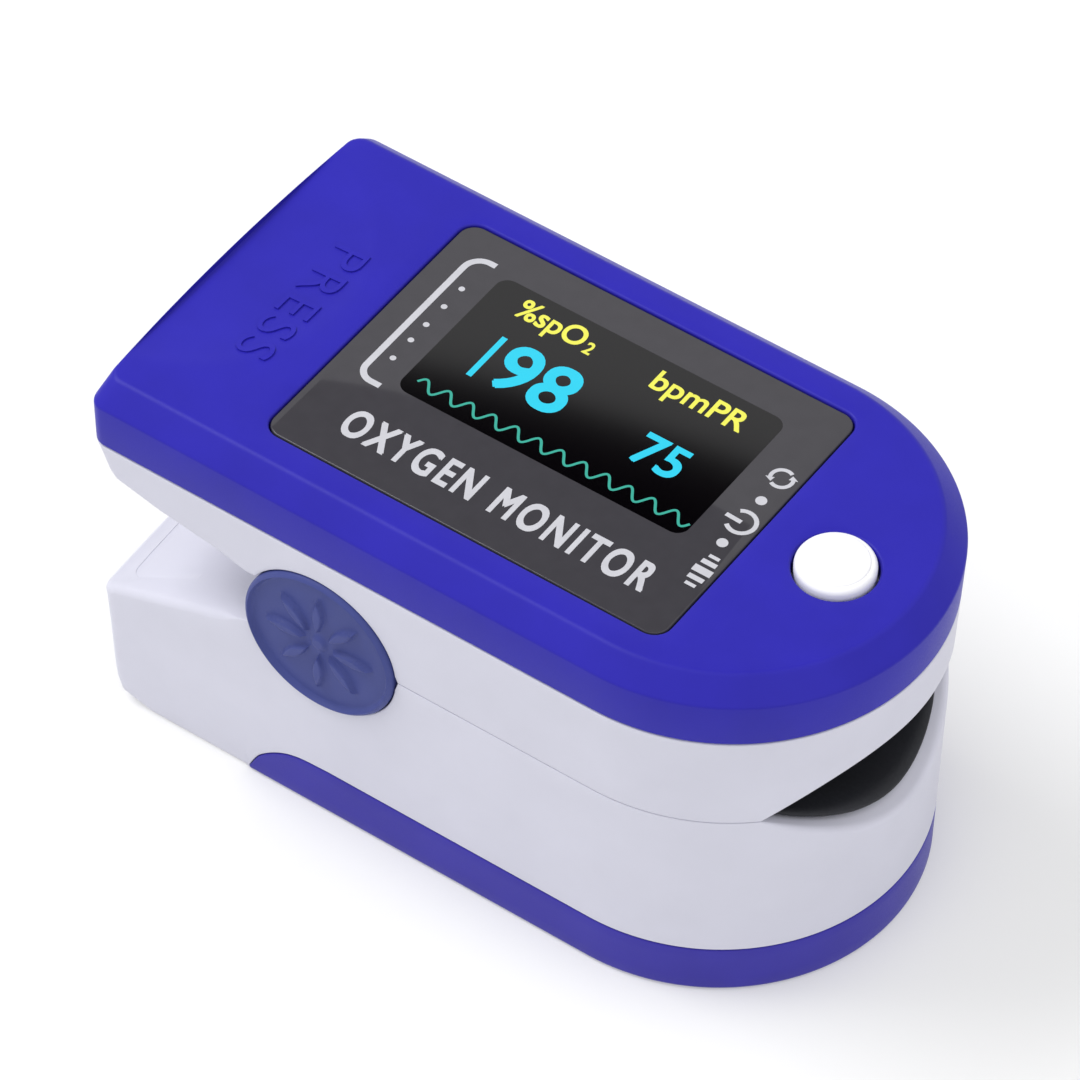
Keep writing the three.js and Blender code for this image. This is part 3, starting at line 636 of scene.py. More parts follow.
def jaw_wall(skin, sign, seam_rule, rear_radius, seam_radius):
    """A jaw's closed outer wall, from its edge at the other jaw to the seam with the next moulding."""
    edge = skin.edge(lambda x, y: jaw_edge(x, y, sign))
    seam = skin.edge(seam_rule)
    rims = [
        wrapped_edge(edge, roll_radius(edge, sign, rear_radius), -sign, lip(skin, edge, sign)),
        wrapped_edge(seam, seam_radius, sign, skin.at(seam[:, 2], SKIN_WALL)),
    ]
    low, high = rims[::sign]
    outer = [skin.on(low[0] * (1 - share) + high[0] * share) for share in np.arange(1, 12) / 12]
    return grid([*low[::-1], *outer, *high], closed_rows=True)


# ---------- Edge rules ----------

def notch(x, sign):
    """Height of the round cut-out for the hinge cap, above or below the hinge, and where it applies."""
    across = np.abs(x - HINGE[0])
    height = HINGE[2] + sign * np.sqrt(np.maximum(0, NOTCH ** 2 - across ** 2))
    return height, (across < NOTCH) & ON_SIDE


def mouth(y, sign):
    """Height of the finger opening's rim on the nose, and where it applies."""
    share = np.minimum(1, np.abs(y) / MOUTH_HALF)
    height = PARTING + sign * MOUTH_REACH[sign] * (1 - share ** MOUTH_POWER[sign])
    return height, (share < 1) & FRONT


def jaw_edge(x, y, sign):
    """Height of the edge where a jaw's shell meets the other jaw's."""
    height = np.where(x < HINGE[0], np.interp(x, *REAR_LINE[sign]), PARTING + sign * SEAM) - sign * EDGE_PLAY
    further = np.maximum if sign > 0 else np.minimum
    for limit, applies in (notch(x, sign), mouth(y, sign)):
        height[applies] = further(height, limit)[applies]
    return height


def flat_rule(height):
    return lambda x, y: np.full(len(x), height)


def door_line(x):
    """Height of the joint between the battery door and the shell above it."""
    return np.interp(x, *smooth_curve(np.column_stack(DOOR_END), 6).T)


def shell_foot(x, y):
    return np.where(x < DOOR_END[0][0], 0.0, door_line(x) + SHELL_RISE)


def roll_radius(edge, sign, rear):
    """How far the jaw's edge is rounded: rear at the back grips, wide at the mouth, crisp elsewhere."""
    crisp, wide = 0.1, 0.6
    share = np.clip((REAR_END - edge[:, 0]) / 1.5, 0, 1)
    radius = crisp + (rear - crisp) * share
    _, open_nose = mouth(edge[:, 1], sign)
    middle = 1 - np.minimum(1, np.abs(edge[:, 1]) / MOUTH_HALF) ** 6
    radius[open_nose] = crisp + (wide - crisp) * middle[open_nose]
    return radius


def lip(skin, edge, sign):
    """Inner end of a jaw's rolled edge: in by the wall, along the rear ramp or down the channel."""
    inner = skin.at(edge[:, 2], SKIN_WALL + LAP[sign])
    rear = edge[:, 0] < REAR_END
    inner[rear, 2] = np.interp(inner[rear, 0], *REAR_LINE[sign]) - sign * 0.03
    share = np.clip(edge[:, 1] / MOUTH_HALF, -1, 1)
    _, open_nose = mouth(edge[:, 1], sign)
    y = share * MOUTH_HALF * LIP_NARROWING
    x = FRONT_CENTRE + np.sqrt(np.maximum(1, LIP_RADIUS ** 2 - y ** 2))
    arch = 1 - np.abs(share) ** MOUTH_POWER[sign]
    z = PARTING + sign * (SEAM + (MOUTH_REACH[sign] - LIP_DROP) * arch)
    inner[open_nose] = np.column_stack([x, y, z])[open_nose]
    return inner


# ---------- Parts of CAD nodes that stay behind the visible skins ----------

UPPER_LEVELS = np.linspace(-1, TOP_Z + 1, 5)
LOWER_LEVELS = (-1, 0.35, 1.1, 3, 11.4, 18.45, 26)


def core(name, node, body, slot, inset, skin=None, cut=(), bevel=0.12):
    """The inner part of a CAD node: everything deeper than inset under the skin, with softened edges."""
    obj = new_object(name, frame["nodes"][node].data.copy())
    helpers = []
    if skin is not None:
        levels = LOWER_LEVELS if skin is LOWER_SKIN else UPPER_LEVELS
        helpers.append(("INTERSECT", capped_loft([skin.at(z, inset)[::3] for z in levels])))
    helpers += [("DIFFERENCE", block(*limits)) for limits in cut]
    for operation, (verts, faces) in helpers:
        apply_boolean(obj, verts, faces, operation)
    soften(obj, bevel)
    obj.data.materials.clear()
    obj.data.materials.append(MATERIALS[slot])
    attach(obj, body)
    return obj


def capped_loft(rows):
    verts, faces = grid(rows)
    count = len(rows[0])
    faces.append(tuple(range(count))[::-1])
    faces.append(tuple(range(len(verts) - count, len(verts))))
    return verts, faces


def block(x0, x1, y0, y1, z0, z1):
    verts = [(x, y, z) for x in (x0, x1) for y in (y0, y1) for z in (z0, z1)]
    faces = [(0, 1, 3, 2), (4, 6, 7, 5), (0, 4, 5, 1), (2, 3, 7, 6), (0, 2, 6, 4), (1, 5, 7, 3)]
    return np.array(verts, float), faces


def apply_boolean(obj, verts, faces, operation):
    mesh = new_mesh("cutter", verts, faces)
    cutter = new_object("cutter", mesh)
    with editing(mesh) as work:
        bmesh.ops.recalc_face_normals(work, faces=work.faces)
    modifier = obj.modifiers.new("cut", "BOOLEAN")
    modifier.operation = operation
    modifier.solver = "EXACT"
    modifier.object = cutter
    bake_modifiers(obj)
    bpy.data.objects.remove(cutter)


def evaluated_mesh(obj):
    return bpy.data.meshes.new_from_object(obj.evaluated_get(bpy.context.evaluated_depsgraph_get()))


def bake_modifiers(obj):
    mesh = evaluated_mesh(obj)
    obj.modifiers.clear()
    obj.data = mesh


def soften(obj, width):
    """Joins coplanar faces and rounds the remaining hard edges."""
    with editing(obj.data) as work:
        bmesh.ops.remove_doubles(work, verts=work.verts, dist=0.003 * MM)
        bmesh.ops.dissolve_limit(work, angle_limit=math.radians(1.5), verts=work.verts, edges=work.edges)
    modifier = obj.modifiers.new("edges", "BEVEL")
    modifier.width = width * MM
    modifier.segments = 2
    modifier.limit_method = "ANGLE"
    modifier.angle_limit = math.radians(38)
    modifier.use_clamp_overlap = True
    bake_modifiers(obj)
    shade_smooth(obj.data, 30)


# ---------- Upper jaw ----------

SCOOP_CENTRE_X = -33.0
SCOOP_REACH = 13.5
SCOOP_HALF = 13.0
SCOOP_DEPTH = 0.55
COVER_DRAFT = 0.117
CEILING_Z = 30.9
LENS_GAP = 0.12
LENS_LEDGE = 1.2
BUTTON_GAP = 0.2
LENS_CORNER = 1.3


def top_height(x, y):
    """The cover's top face, with the shallow thumb scoop at its rear."""
    reach = ((x - SCOOP_CENTRE_X) / SCOOP_REACH) ** 2 + (y / SCOOP_HALF) ** 2
    bowl = np.clip(1 - reach, 0, 1)
    return TOP_Z - SCOOP_DEPTH * bowl ** 0.8


def cover_row(share, z):
    """The cover's outline at a share of the bevel, from 0 at the side wall to 1 at the top face."""
    half = HALF_WIDTH - BEVEL * share
    back = BACK_X + BEVEL_BACK * share
    return Skin([(0, half), (1, half)], [(0, back), (1, back)]).at(z)


def top_cover():
    seam = COVER_SEAM + SEAM
    profile = fillet(
        [(WALL, seam), (COVER_DRAFT, seam), (0, TOP_Z - BEVEL), (BEVEL, TOP_Z), (BEVEL + 1.2, TOP_Z)],
        [0.15, 0.35, 0.7], 6,
    )
    rows = [cover_row(inset / BEVEL, z) for inset, z in profile[:-1]]
    outer = rows[-1][:, :2]
    rows[-1][:, 2] = top_height(outer[:, 0], outer[:, 1])
    rows[-2][:, 2] = np.minimum(rows[-2][:, 2], rows[-1][:, 2] + 0.02)
    x0, y0, _ = lens_low - LENS_GAP
    x1, y1, _ = lens_high + LENS_GAP
    recess = resampled(rounded_rectangle(x0, x1, y0, y1, LENS_CORNER + LENS_GAP), 0.8)
    recess_rows = rolled_hole(recess, TOP_Z, 0.22, lens_low[2] - 0.05, LENS_LEDGE)
    button_loop = circle(BUTTON_X, 0, BUTTON_RADIUS + BUTTON_GAP, 64)
    button_rows = rolled_hole(button_loop, TOP_Z, 0.25, CEILING_Z, 0)
    scoop_end = SCOOP_CENTRE_X + SCOOP_REACH + 0.8
    top = patch(
        outer, [recess_rows[0][:, :2], button_rows[0][:, :2]], top_height, 1.1,
        (lambda x, y: x < scoop_end, 0.45),
    )
    inner_low = cover_row(WALL / BEVEL, seam)
    inner_high = cover_row(WALL / BEVEL, CEILING_Z)
    ceiling = patch(
        inner_high[:, :2], [recess_rows[-1][:, :2], button_rows[-1][:, :2]], flat_rule(CEILING_Z), 3.0,
    )
    side = grid([inner_high, inner_low, *rows])
    verts, faces = joined(side, top, ceiling, grid(recess_rows), grid(button_rows))
    piece("cover_shell", verts, faces, "upper_jaw", "cover_blue", ["top_cover"], sharp=50)


def grown(loop, margin):
    """A convex loop moved outward by a margin."""
    ahead = np.roll(loop, -1, axis=0) - np.roll(loop, 1, axis=0)
    return loop + unit(np.column_stack([ahead[:, 1], -ahead[:, 0]])) * margin


def rolled_hole(loop, top, radius, bottom, ledge):
    """Rows from a face at height top, over a rounded edge and down a hole's wall.

    Where ledge is above 0 a shelf reaches inward by it, and its own wall goes down to the ceiling.
    """
    rows = [at_height(grown(loop, radius * (1 - sin)), top - radius * (1 - cos)) for cos, sin in quarter(4)]
    rows.append(at_height(loop, bottom))
    if ledge:
        shelf = grown(loop, -ledge)
        rows += [at_height(shelf, bottom), at_height(shelf, CEILING_Z)]
    return rows


def slab(loop, bottom, top, edge):
    """A flat plate on a loop, with its top edge rounded."""
    rows = [at_height(grown(loop, -edge * (1 - cos)), top - edge * (1 - sin)) for cos, sin in quarter(3)]
    return capped_loft([at_height(loop, bottom), *rows])


SCREEN_X = (-12.1, 12.1)
SCREEN_Y = (-3.9, 9.4)
# Heights of the printed and lit areas over the lens's face.
WINDOW_LIFT = 0.004
INK_LIFT = 0.008


def display_lens():
    loop = rounded_rectangle(lens_low[0], lens_high[0], lens_low[1], lens_high[1], LENS_CORNER)
    verts, faces = slab(loop, lens_low[2], lens_high[2], 0.12)
    piece("lens", verts, faces, "upper_jaw", "lens_smoke", ["display_lens"])
    window = rounded_rectangle(*SCREEN_X, *SCREEN_Y, 1.0)
    marks("screen_window", [polygon(window)], "display_glass", WINDOW_LIFT)


def stroke(points, width):
    """A ribbon of even width along 2-D points, as quads."""
    points = np.asarray(points, float)
    side = beside(points) * width / 2
    return grid([at_height(points + side, 0), at_height(points - side, 0)], closed_columns=False)


def marks(name, parts, material, lift=INK_LIFT):
    """Flat printed or lit marks just over the lens, from stroke(), polygon() and lettering() parts."""
    verts, faces = joined(*parts)
    verts[:, 2] = lens_high[2] + lift
    obj = piece(name, verts, faces, "upper_jaw", "lens_smoke", material=material, smooth=False)
    with editing(obj.data) as work:
        bmesh.ops.reverse_faces(work, faces=[face for face in work.faces if face.normal.z < 0])


def polygon(points):
    return at_height(points, 0), [tuple(range(len(points)))]


def text_mesh(text, spacing=1.0, bold=0.0, depth=0.0):
    """Vertices and faces of a line of text, fitted to the unit square."""
    curve = bpy.data.curves.new("text", "FONT")
    curve.body = text
    curve.offset = bold
    curve.space_character = spacing
    curve.extrude = depth
    curve.resolution_u = 6
    obj = new_object("text", curve)
    mesh = evaluated_mesh(obj)
    verts = np.array([tuple(v.co) for v in mesh.vertices])
    faces = [tuple(p.vertices) for p in mesh.polygons]
    bpy.data.objects.remove(obj)
    low, high = verts.min(0), verts.max(0)
    verts[:, :2] = (verts[:, :2] - low[:2]) / (high[:2] - low[:2])
    return verts, faces


def covered(points, corners):
    """Whether each 2-D point lies in any of the triangles."""
    ahead = np.roll(corners, -1, axis=1) - corners
    result = []
    for x, y in points:
        turn = ahead[:, :, 0] * (y - corners[:, :, 1]) - ahead[:, :, 1] * (x - corners[:, :, 0])
        result.append(bool(((turn > 0).all(1) | (turn < 0).all(1)).any()))
    return np.array(result)


def lettering(text, x0, x1, y0, y1, bold=0.0, **style):
    """Text filling a rectangle on the lens, its strokes widened by bold on every side and merged."""
    verts, faces = text_mesh(text, **style)
    low = np.array([x0 + bold, y0 + bold])
    span = np.array([x1 - x0 - 2 * bold, y1 - y0 - 2 * bold])
    corners = (low + span * verts[:, :2])[np.array(faces)]
    shifts = bold * np.array([(1, 1), (1, -1), (-1, 1), (-1, -1)]) if bold else np.zeros((1, 2))
    corners = np.concatenate([corners + shift for shift in shifts])
    points = corners.reshape(-1, 2)
    edges = [(i, i + 1 if i % 3 < 2 else i - 2) for i in range(len(points))]
    points, _, triangles, *_ = delaunay_2d_cdt([Vector(p) for p in points], edges, [], 1, 1e-4)
    points = np.array([(v.x, v.y, 0) for v in points])
    triangles = np.array(triangles)
    inked = covered(points[triangles].mean(1)[:, :2], corners)
    return points, [tuple(triangle) for triangle in triangles[inked]]


def turning_arrow(x, y, radius, start, end):
    """An arc with an arrow head at its end."""
    tip, foot = math.radians(end + 30), math.radians(end)
    head = [(x + r * math.cos(a), y + r * math.sin(a)) for r, a in
            ((radius, tip), (radius - 0.34, foot), (radius + 0.34, foot))]
    return [stroke(arc(x, y, radius, start, end), 0.3), polygon(head)]


def lens_print():
    title = lettering("OXYGEN MONITOR", -13.0, 12.7, -9.75, -7.0, bold=0.08, spacing=1.25)
    marks("lens_title", [title], "print_white")
    bracket = np.concatenate([
        [(-13.1, 9.85)], arc(-13.6, 8.5, 1.35, 90, 180, 10), [(-14.95, -3.2)],
        arc(-13.8, -3.3, 1.15, 180, 270, 10), [(-12.95, -4.45)],
    ])
    dots = [polygon(circle(-13.8, y, 0.24, 16)) for y in (6.6, 4.45, 2.28, 0.43, -1.73)]
    marks("lens_scale", [stroke(bracket, 0.5), *dots], "print_white")
    icon_x = 14.66
    icons = [
        *turning_arrow(icon_x, 4.7, 0.83, 60, 200),
        *turning_arrow(icon_x, 4.7, 0.83, 240, 380),
        stroke(arc(icon_x, -0.3, 1.05, -136, 128), 0.34),
        stroke([(icon_x - 1.3, -0.27), (icon_x, -0.33)], 0.36),
        polygon(circle(icon_x, 2.15, 0.42, 20)),
        polygon(circle(icon_x, -2.66, 0.42, 20)),
    ]
    bars_x = 15.0
    for y, length, width in ((-7.1, 0.85, 0.3), (-6.42, 1.25, 0.42), (-5.6, 1.5, 0.62), (-4.78, 1.2, 0.42),
                             (-4.14, 0.85, 0.3)):
        icons.append(stroke([(bars_x - length / 2, y), (bars_x + length / 2, y)], width))
    marks("lens_icons", icons, "print_white")


def screen_figures():
    oxygen = [lettering("%spO", -9.45, -3.83, 6.08, 8.6, bold=0.04),
              lettering("2", -3.5, -2.85, 6.5, 7.7, bold=0.03)]
    marks("oxygen_label", oxygen, "glow_yellow")
    marks("pulse_label", [lettering("bpmPR", 2.2, 9.85, 5.89, 8.42, bold=0.04)], "glow_yellow")
    marks("oxygen_value", [lettering("98", -7.5, -1.4, 0.1, 4.8, bold=0.1)], "glow_cyan")
    marks("pulse_value", [lettering("75", 4.8, 8.6, -0.03, 3.05, bold=0.07)], "glow_cyan")
    marks("level_bar", [stroke([(-8.55, 0.0), (-8.55, 4.5)], 0.46)], "glow_cyan")
    start, end, middle, height, beats = -11.1, 11.9, -2.55, 0.52, 12
    x = np.linspace(start, end, 290)
    swing = np.sin((x - start) / (end - start) * beats * 2 * math.pi)
    marks("pulse_wave", [stroke(np.column_stack([x, middle + height * swing]), 0.2)], "glow_teal")


def press_word():
    """A generic word raised a little from the thumb scoop, reading from side to side."""
    tall, wide = 2.9, 12.7
    raised, sunk = 0.13, -0.15
    verts, faces = text_mesh("PRESS", bold=-0.004, spacing=1.15, depth=0.01)
    x = -23.6 + tall * verts[:, 1]
    y = 5.2 - wide * verts[:, 0]
    z = top_height(x, y) + np.where(verts[:, 2] > 0, raised, sunk)
    piece("press_word", np.column_stack([x, y, z]), faces, "upper_jaw", "cover_blue", smooth=False)


def power_button():
    stem, flange, flange_low, flange_high, shoulder = 1.2, 3.8, 30, 30.8, 33.25
    foot, crest = button_low[2], button_high[2]
    side = fillet([(BUTTON_RADIUS, flange_high), (BUTTON_RADIUS, shoulder), (0, crest)], [0.55], 8)[:-1]
    rim, rim_z = side[-1]
    dome = [(rim * cos, rim_z + (crest - rim_z) * sin) for cos, sin in quarter(9)[1:]]
    profile = [(0, foot), (stem, foot), (stem, flange_low), (flange, flange_low), (flange, flange_high)]
    verts, faces = lathe([*profile, *side, *dome], 72)
    piece("button_cap", verts + [BUTTON_X, 0, 0], faces, "button", "button_white", ["power_button"])


def mouth_cut(x, z):
    """Limits of the block that clears a core from the finger opening."""
    return x, FRONT_X + 10, -MOUTH_HALF - 0.9, MOUTH_HALF + 0.9, z, 25


def upper_shell():
    verts, faces = jaw_wall(UPPER_SKIN, 1, flat_rule(COVER_SEAM - SEAM), 0.3, 0.12)
    piece("upper_wall", verts, faces, "upper_jaw", "shell_white", ["upper_shell"])
    core("upper_frame", "upper_shell", "upper_jaw", "shell_white", CORE_INSET, UPPER_SKIN,
         [mouth_cut(25.2, 10)])


def lower_shell():
    verts, faces = jaw_wall(LOWER_SKIN, -1, shell_foot, 0.65, 0.1)
    piece("lower_wall", verts, faces, "lower_half", "shell_white", ["lower_shell"])
    core("lower_frame", "lower_shell", "lower_half", "shell_white", CORE_INSET, LOWER_SKIN,
         [mouth_cut(24.5, 11.5)])
    deck = core("deck_panel", "lower_deck", "lower_half", "shell_white", 0,
                cut=[mouth_cut(25.2, 12)], bevel=0.06)
    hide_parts("lower_deck")


# Each outer row of the door: its height in millimetres, and the most that may be of the way up.
DOOR_ROWS = ((0.06, 0.1), (0.15, 0.2), (0.35, 0.35), (1.3, 0.55), (2.4, 0.75), (3.4, 0.9))


def battery_door():
    on_side = SIDES & (VALUE >= DOOR_END[0][0] - 0.001)
    runs = (on_side & (SIDE < 0), FRONT, on_side & (SIDE > 0))
    order = np.concatenate([np.flatnonzero(run) for run in runs])
    foot = wrapped_edge(LOWER_SKIN.edge(flat_rule(DOOR_FOOT)), 0.01, -1)
    top = LOWER_SKIN.edge(lambda x, y: np.maximum(DOOR_FOOT, door_line(x) - DOOR_DROP))
    head = wrapped_edge(top, np.clip(top[:, 2] / 6 - 0.03, 0.005, 0.12), 1)
    rows = [row[order] for row in foot[::-1]]
    start = foot[0][:, 2]
    rise = np.maximum(0, head[0][:, 2] - start)
    for height, share in DOOR_ROWS:
        rows.append(LOWER_SKIN.at(np.minimum(height, start + rise * share))[order])
    rows += [row[order] for row in head]
    verts, faces = grid(rows, closed_rows=True, closed_columns=False)
    count = len(order)
    faces.append(tuple(r * count for r in range(len(rows))))
    faces.append(tuple(r * count + count - 1 for r in range(len(rows)))[::-1])
    piece("door_wall", verts, faces, "door", "door_blue", ["battery_door"])
    core("door_plate", "battery_door", "door", "door_blue", CORE_INSET, LOWER_SKIN, bevel=0.1)


# ---------- Hinge caps ----------

CAP_RECESS = 0.42
CAP_ROUND = 0.45
PETALS = 8


def eased(share):
    """A share clipped to the span from 0 to 1, with a soft start and end."""
    share = np.clip(share, 0, 1)
    return share * share * (3 - 2 * share)


def cap_relief(radius, angle):
    """Height of the cap's face over its floor: raised rounded rim, eight petals and a centre boss."""
    rim = eased((radius - (CAP_RADIUS - 0.6)) / 0.25) * CAP_RECESS
    spacing = 2 * math.pi / PETALS
    turn = (angle + spacing / 2) % spacing - spacing / 2
    across = np.abs(radius * np.sin(turn))
    along = np.clip((radius * np.cos(turn) - 1.1) / 3.6, 0, 1)
    leaf = eased((0.5 * np.sin(math.pi * along) - across) / 0.18) * 0.4
    boss = np.clip((0.75 - radius) / 0.3, 0, 1) * 0.25
    return rim + leaf + boss


def side_caps():
    depth = cap_high[1] - cap_low[1]
    count = 192
    angles = np.linspace(0, 2 * math.pi, count, endpoint=False)
    flat_radius = CAP_RADIUS - CAP_ROUND
    profile = []
    for radius in (0.001, *np.linspace(0.12, flat_radius, 56)):
        profile.append((radius, depth - CAP_RECESS + cap_relief(radius, angles)))
    for cos, sin in quarter(6)[1:]:
        profile.append((flat_radius + CAP_ROUND * sin, depth - CAP_ROUND * (1 - cos)))
    profile += [(CAP_RADIUS, 0), (0.001, 0)]
    verts, faces = lathe(profile, count)
    for name, side in (("side_cap_left", 1), ("side_cap_right", -1)):
        placed = np.column_stack([
            HINGE[0] + verts[:, 0], side * (abs(cap_high[1]) + verts[:, 2]), HINGE[2] + verts[:, 1],
        ])
        piece(name + "_face", placed, faces, "lower_half", "cap_blue", [name], sharp=60)


# ---------- Finger pads ----------

def finger_pad(name, node, body, sign):
    """Half of the black sleeve: an arched sheet with a closed inner end and a rounded front rim."""
    back = pad_low[0]
    plan_half = pad_high[0] - FRONT_CENTRE
    base = PARTING + sign * 0.1
    shares = np.linspace(-1, 1, 61)
    outer_half, outer_reach, thick, flare, back_power = 10.35, 4.6, 1.0, 0.75, 2.4
    # Shares of the sleeve's length: its closed end stops, the hollow is full, the front rim begins.
    end_wall, full, rim_start = 0.03, 0.16, 0.97
    stations = [0, 0.004, end_wall, *np.linspace(0.035, full, 14), *np.linspace(0.2, 0.95, 14)]
    stations += [rim_start, 0.98, 0.988, 0.994, 0.998, 1.0]
    rows = []
    for share in stations:
        rim = math.sqrt(1 - (max(0, share - rim_start) / (1 - rim_start)) ** 2) if share < 1 else 0
        rise = np.clip((share - end_wall) / (full - end_wall), 0, 1)
        hollow = math.sqrt(1 - (1 - rise) ** 2)
        arch = 1 - np.abs(shares) ** (MOUTH_POWER[sign] + (back_power - MOUTH_POWER[sign]) * (1 - share))
        half = outer_half + flare * np.clip((share - 0.7) / 0.25, 0, 1) ** 2
        faces_of_wall = []
        for face, fill in ((1, hollow), (-1, 1)):
            depth = thick * (1 + face * rim) / 2
            y = shares * (half - depth)
            x = back + share * (FRONT_CENTRE + np.sqrt(plan_half ** 2 - y ** 2) - back)
            z = base + sign * (outer_reach - depth) * arch * fill
            faces_of_wall.append(np.column_stack([x, y, z])[::face])
        rows.append(np.concatenate(faces_of_wall))
    verts, faces = capped_loft(rows)
    piece(name, verts, faces, body, "pad_black", [node], sharp=60)


# ---------- Springs and flex, which cross the hinge ----------------

def tube(points, radius):
    """A round wire through 3-D points."""
    points = np.asarray(points, float)
    ahead = unit(np.gradient(points, axis=0))
    side = np.cross(ahead[0], [0.3, 0.2, 1.0])
    section = circle(0, 0, radius, 12)
    rows = []
    for point, direction in zip(points, ahead):
        side = unit(side - direction * (side @ direction))
        rows.append(point + section @ [side, np.cross(direction, side)])
    return capped_loft(rows)


def torsion_springs():
    """Coils about the hinge pins, each with a straight arm into either jaw."""
    coil_radius, wire, turns, pitch, first = 2.5, 0.4, 3, 0.83, 8.5
    tip_x, upper_z, lower_z = -15.2, 22.0, 14.05

    def tangent(z, sense):
        """The angle at which the arm to a tip at height z leaves the coil."""
        x, z = tip_x - HINGE[0], z - HINGE[2]
        return math.atan2(z, x) + sense * math.acos(coil_radius / math.hypot(x, z))

    start = tangent(upper_z, -1)
    end = tangent(lower_z, 1) - 2 * math.pi * turns
    last = first + pitch * (start - end) / (2 * math.pi)
    angles = np.linspace(start, end, 150)
    share = np.linspace(0, 1, 12)[:, None]
    for name, side in (("torsion_spring_left", 1), ("torsion_spring_right", -1)):
        coil = np.column_stack([
            HINGE[0] + coil_radius * np.cos(angles), side * np.linspace(first, last, 150),
            HINGE[2] + coil_radius * np.sin(angles),
        ])
        upper_tip = np.array([tip_x, side * first, upper_z])
        lower_tip = np.array([tip_x, side * last, lower_z])
        upper_arm = upper_tip + (coil[0] - upper_tip) * share
        lower_arm = coil[-1] + (lower_tip - coil[-1]) * share
        verts, faces = tube(np.concatenate([upper_arm[:-1], coil, lower_arm[1:]]), wire)
        obj = piece(name + "_wire", verts, faces, None, "hinge_steel", [name])
        across_hinge(obj)


def across_hinge(obj):
    """Bakes a piece's placement into its mesh."""
    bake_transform(obj)


def sensor_ribbon():
    route = np.array([
        (5.8, 12.06), (-2, 12.06), (-7.2, 12.06), (-8.8, 12.5), (-9.6, 13.6), (-9.7, 16), (-9.7, 18.4),
        (-9.7, 21), (-9.7, 23.2), (-10, 24.4), (-10.65, 24.75),
    ])
    dense = smooth_curve(route, 10)
    half, thick = 2.5, 0.2
    rows = []
    for (x, z), (dx, dz) in zip(dense, beside(dense) * thick):
        rows.append([(x, -half, z), (x, half, z), (x + dx, half, z + dz), (x + dx, -half, z + dz)])
    verts, faces = capped_loft(rows)
    obj = piece("sensor_ribbon", verts, faces, None, "film_amber", ["sensor_flex"])
    across_hinge(obj)


def smooth_curve(points, per_span):
    """A Catmull-Rom curve through 2-D points."""
    padded = np.concatenate([[2 * points[0] - points[1]], points, [2 * points[-1] - points[-2]]])
    out = []
    for a, b, c, d in zip(padded, padded[1:], padded[2:], padded[3:]):
        for i in range(per_span):
            t = i / per_span
            out.append(0.5 * (2 * b + (c - a) * t + (2 * a - 5 * b + 4 * c - d) * t * t
                              + (3 * b - a - 3 * c + d) * t ** 3))
    out.append(points[-1])
    return np.array(out)


# ---------- Cells ----------

def cells():
    for node, direction in (("battery_left", 1), ("battery_right", -1)):
        low, high = mm_box(node)
        radius = (high[2] - low[2]) / 2
        length = high[0] - low[0]
        outline = [
            (0, 0), (radius - 0.5, 0), (radius - 0.5, 0.15), (radius, 0.35), (radius, length - 1.2),
            (radius - 0.6, length - 0.85), (1.9, length - 0.8), (1.9, length), (0, length),
        ]
        profile = fillet(outline, [0, 0, 0.1, 0.3, 0.2, 0, 0.3], 4)
        verts, faces = lathe([(max(r, 0.001), z) for r, z in profile], 64)
        x = low[0] + verts[:, 2] if direction > 0 else high[0] - verts[:, 2]
        _, middle_y, middle_z = (low + high) / 2
        placed = np.column_stack([x, middle_y + verts[:, 0], middle_z + verts[:, 1]])
        piece(node + "_cell", placed, faces, "lower_half", "cell_wrap", [node])


# ---------- Floor and light ----------

# A white room with one round dark hood overhead, whose edge shows in the polished lens.
SKY_TOP = 1.32
SKY_EDGE = 0.52
HOOD_AXIS = (-0.2878, 0.2737, 0.9177)
HOOD_HALF_ANGLE = 21.03
LIT_POINT = (0, 0, 0.015)


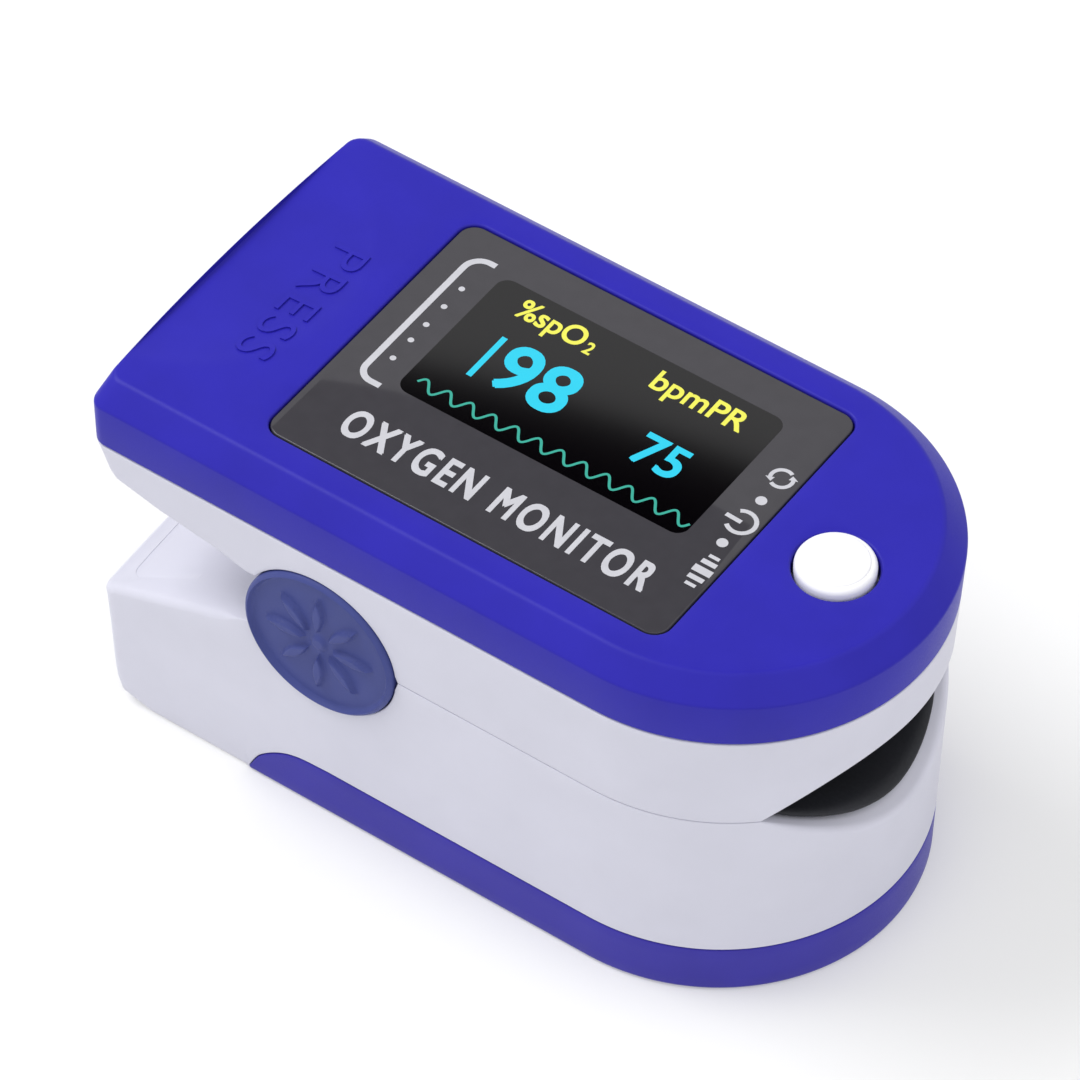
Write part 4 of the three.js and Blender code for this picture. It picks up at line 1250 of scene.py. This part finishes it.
def stage():
    paper = Surface("floor")
    paper.set(Base_Color=(0.62, 0.62, 0.62, 1), Roughness=0.9)
    paper.set(Emission_Color=(1, 1, 1, 1), Emission_Strength=0.25)
    half, drop = 3000, -0.1
    corners = [(-half, -half, drop), (half, -half, drop), (half, half, drop), (-half, half, drop)]
    mesh = new_mesh("floor", corners, [(0, 1, 2, 3)])
    mesh.materials.append(MATERIALS["floor"])
    new_object("floor", mesh)
    world = bpy.data.worlds.new("studio")
    bpy.context.scene.world = world
    world.use_nodes = True
    nodes, links = world.node_tree.nodes, world.node_tree.links
    direction = nodes.new("ShaderNodeTexCoord").outputs["Generated"]

    def toward(axis):
        dot = nodes.new("ShaderNodeVectorMath")
        dot.operation = "DOT_PRODUCT"
        dot.inputs[1].default_value = axis
        links.new(direction, dot.inputs[0])
        return dot.outputs["Value"]

    def math_node(operation, *values):
        node = nodes.new("ShaderNodeMath")
        node.operation = operation
        for value, socket in zip(values, node.inputs):
            if isinstance(value, float):
                socket.default_value = value
            else:
                links.new(value, socket)
        return node.outputs["Value"]

    height = math_node("MULTIPLY", math_node("MAXIMUM", toward((0, 0, 1)), 0.0), SKY_TOP - SKY_EDGE)
    sky = math_node("ADD", height, SKY_EDGE)
    outside = math_node("LESS_THAN", toward(HOOD_AXIS), math.cos(math.radians(HOOD_HALF_ANGLE)))
    links.new(math_node("MULTIPLY", sky, outside), nodes["Background"].inputs["Strength"])
    nodes["Background"].inputs["Color"].default_value = (1, 1, 1, 1)


def lights():
    for name, place, width, height, power in (
        ("key", (-0.55, -0.15, 0.8), 0.5, 0.5, 5.2),
        ("fill", (0.7, -0.35, 0.35), 0.5, 0.4, 0.5),
    ):
        data = bpy.data.lights.new(name, "AREA")
        data.shape = "RECTANGLE"
        data.size = width
        data.size_y = height
        data.energy = power
        obj = new_object(name, data)
        obj.location = place
        obj.rotation_euler = (Vector(LIT_POINT) - Vector(place)).to_track_quat("-Z", "Y").to_euler()


top_cover()
display_lens()
lens_print()
screen_figures()
press_word()
power_button()
upper_shell()
lower_shell()
battery_door()
side_caps()
finger_pad("upper_lining", "upper_pad", "upper_jaw", 1)
finger_pad("lower_lining", "lower_pad", "lower_half", -1)
torsion_springs()
sensor_ribbon()
cells()
stage()
lights()
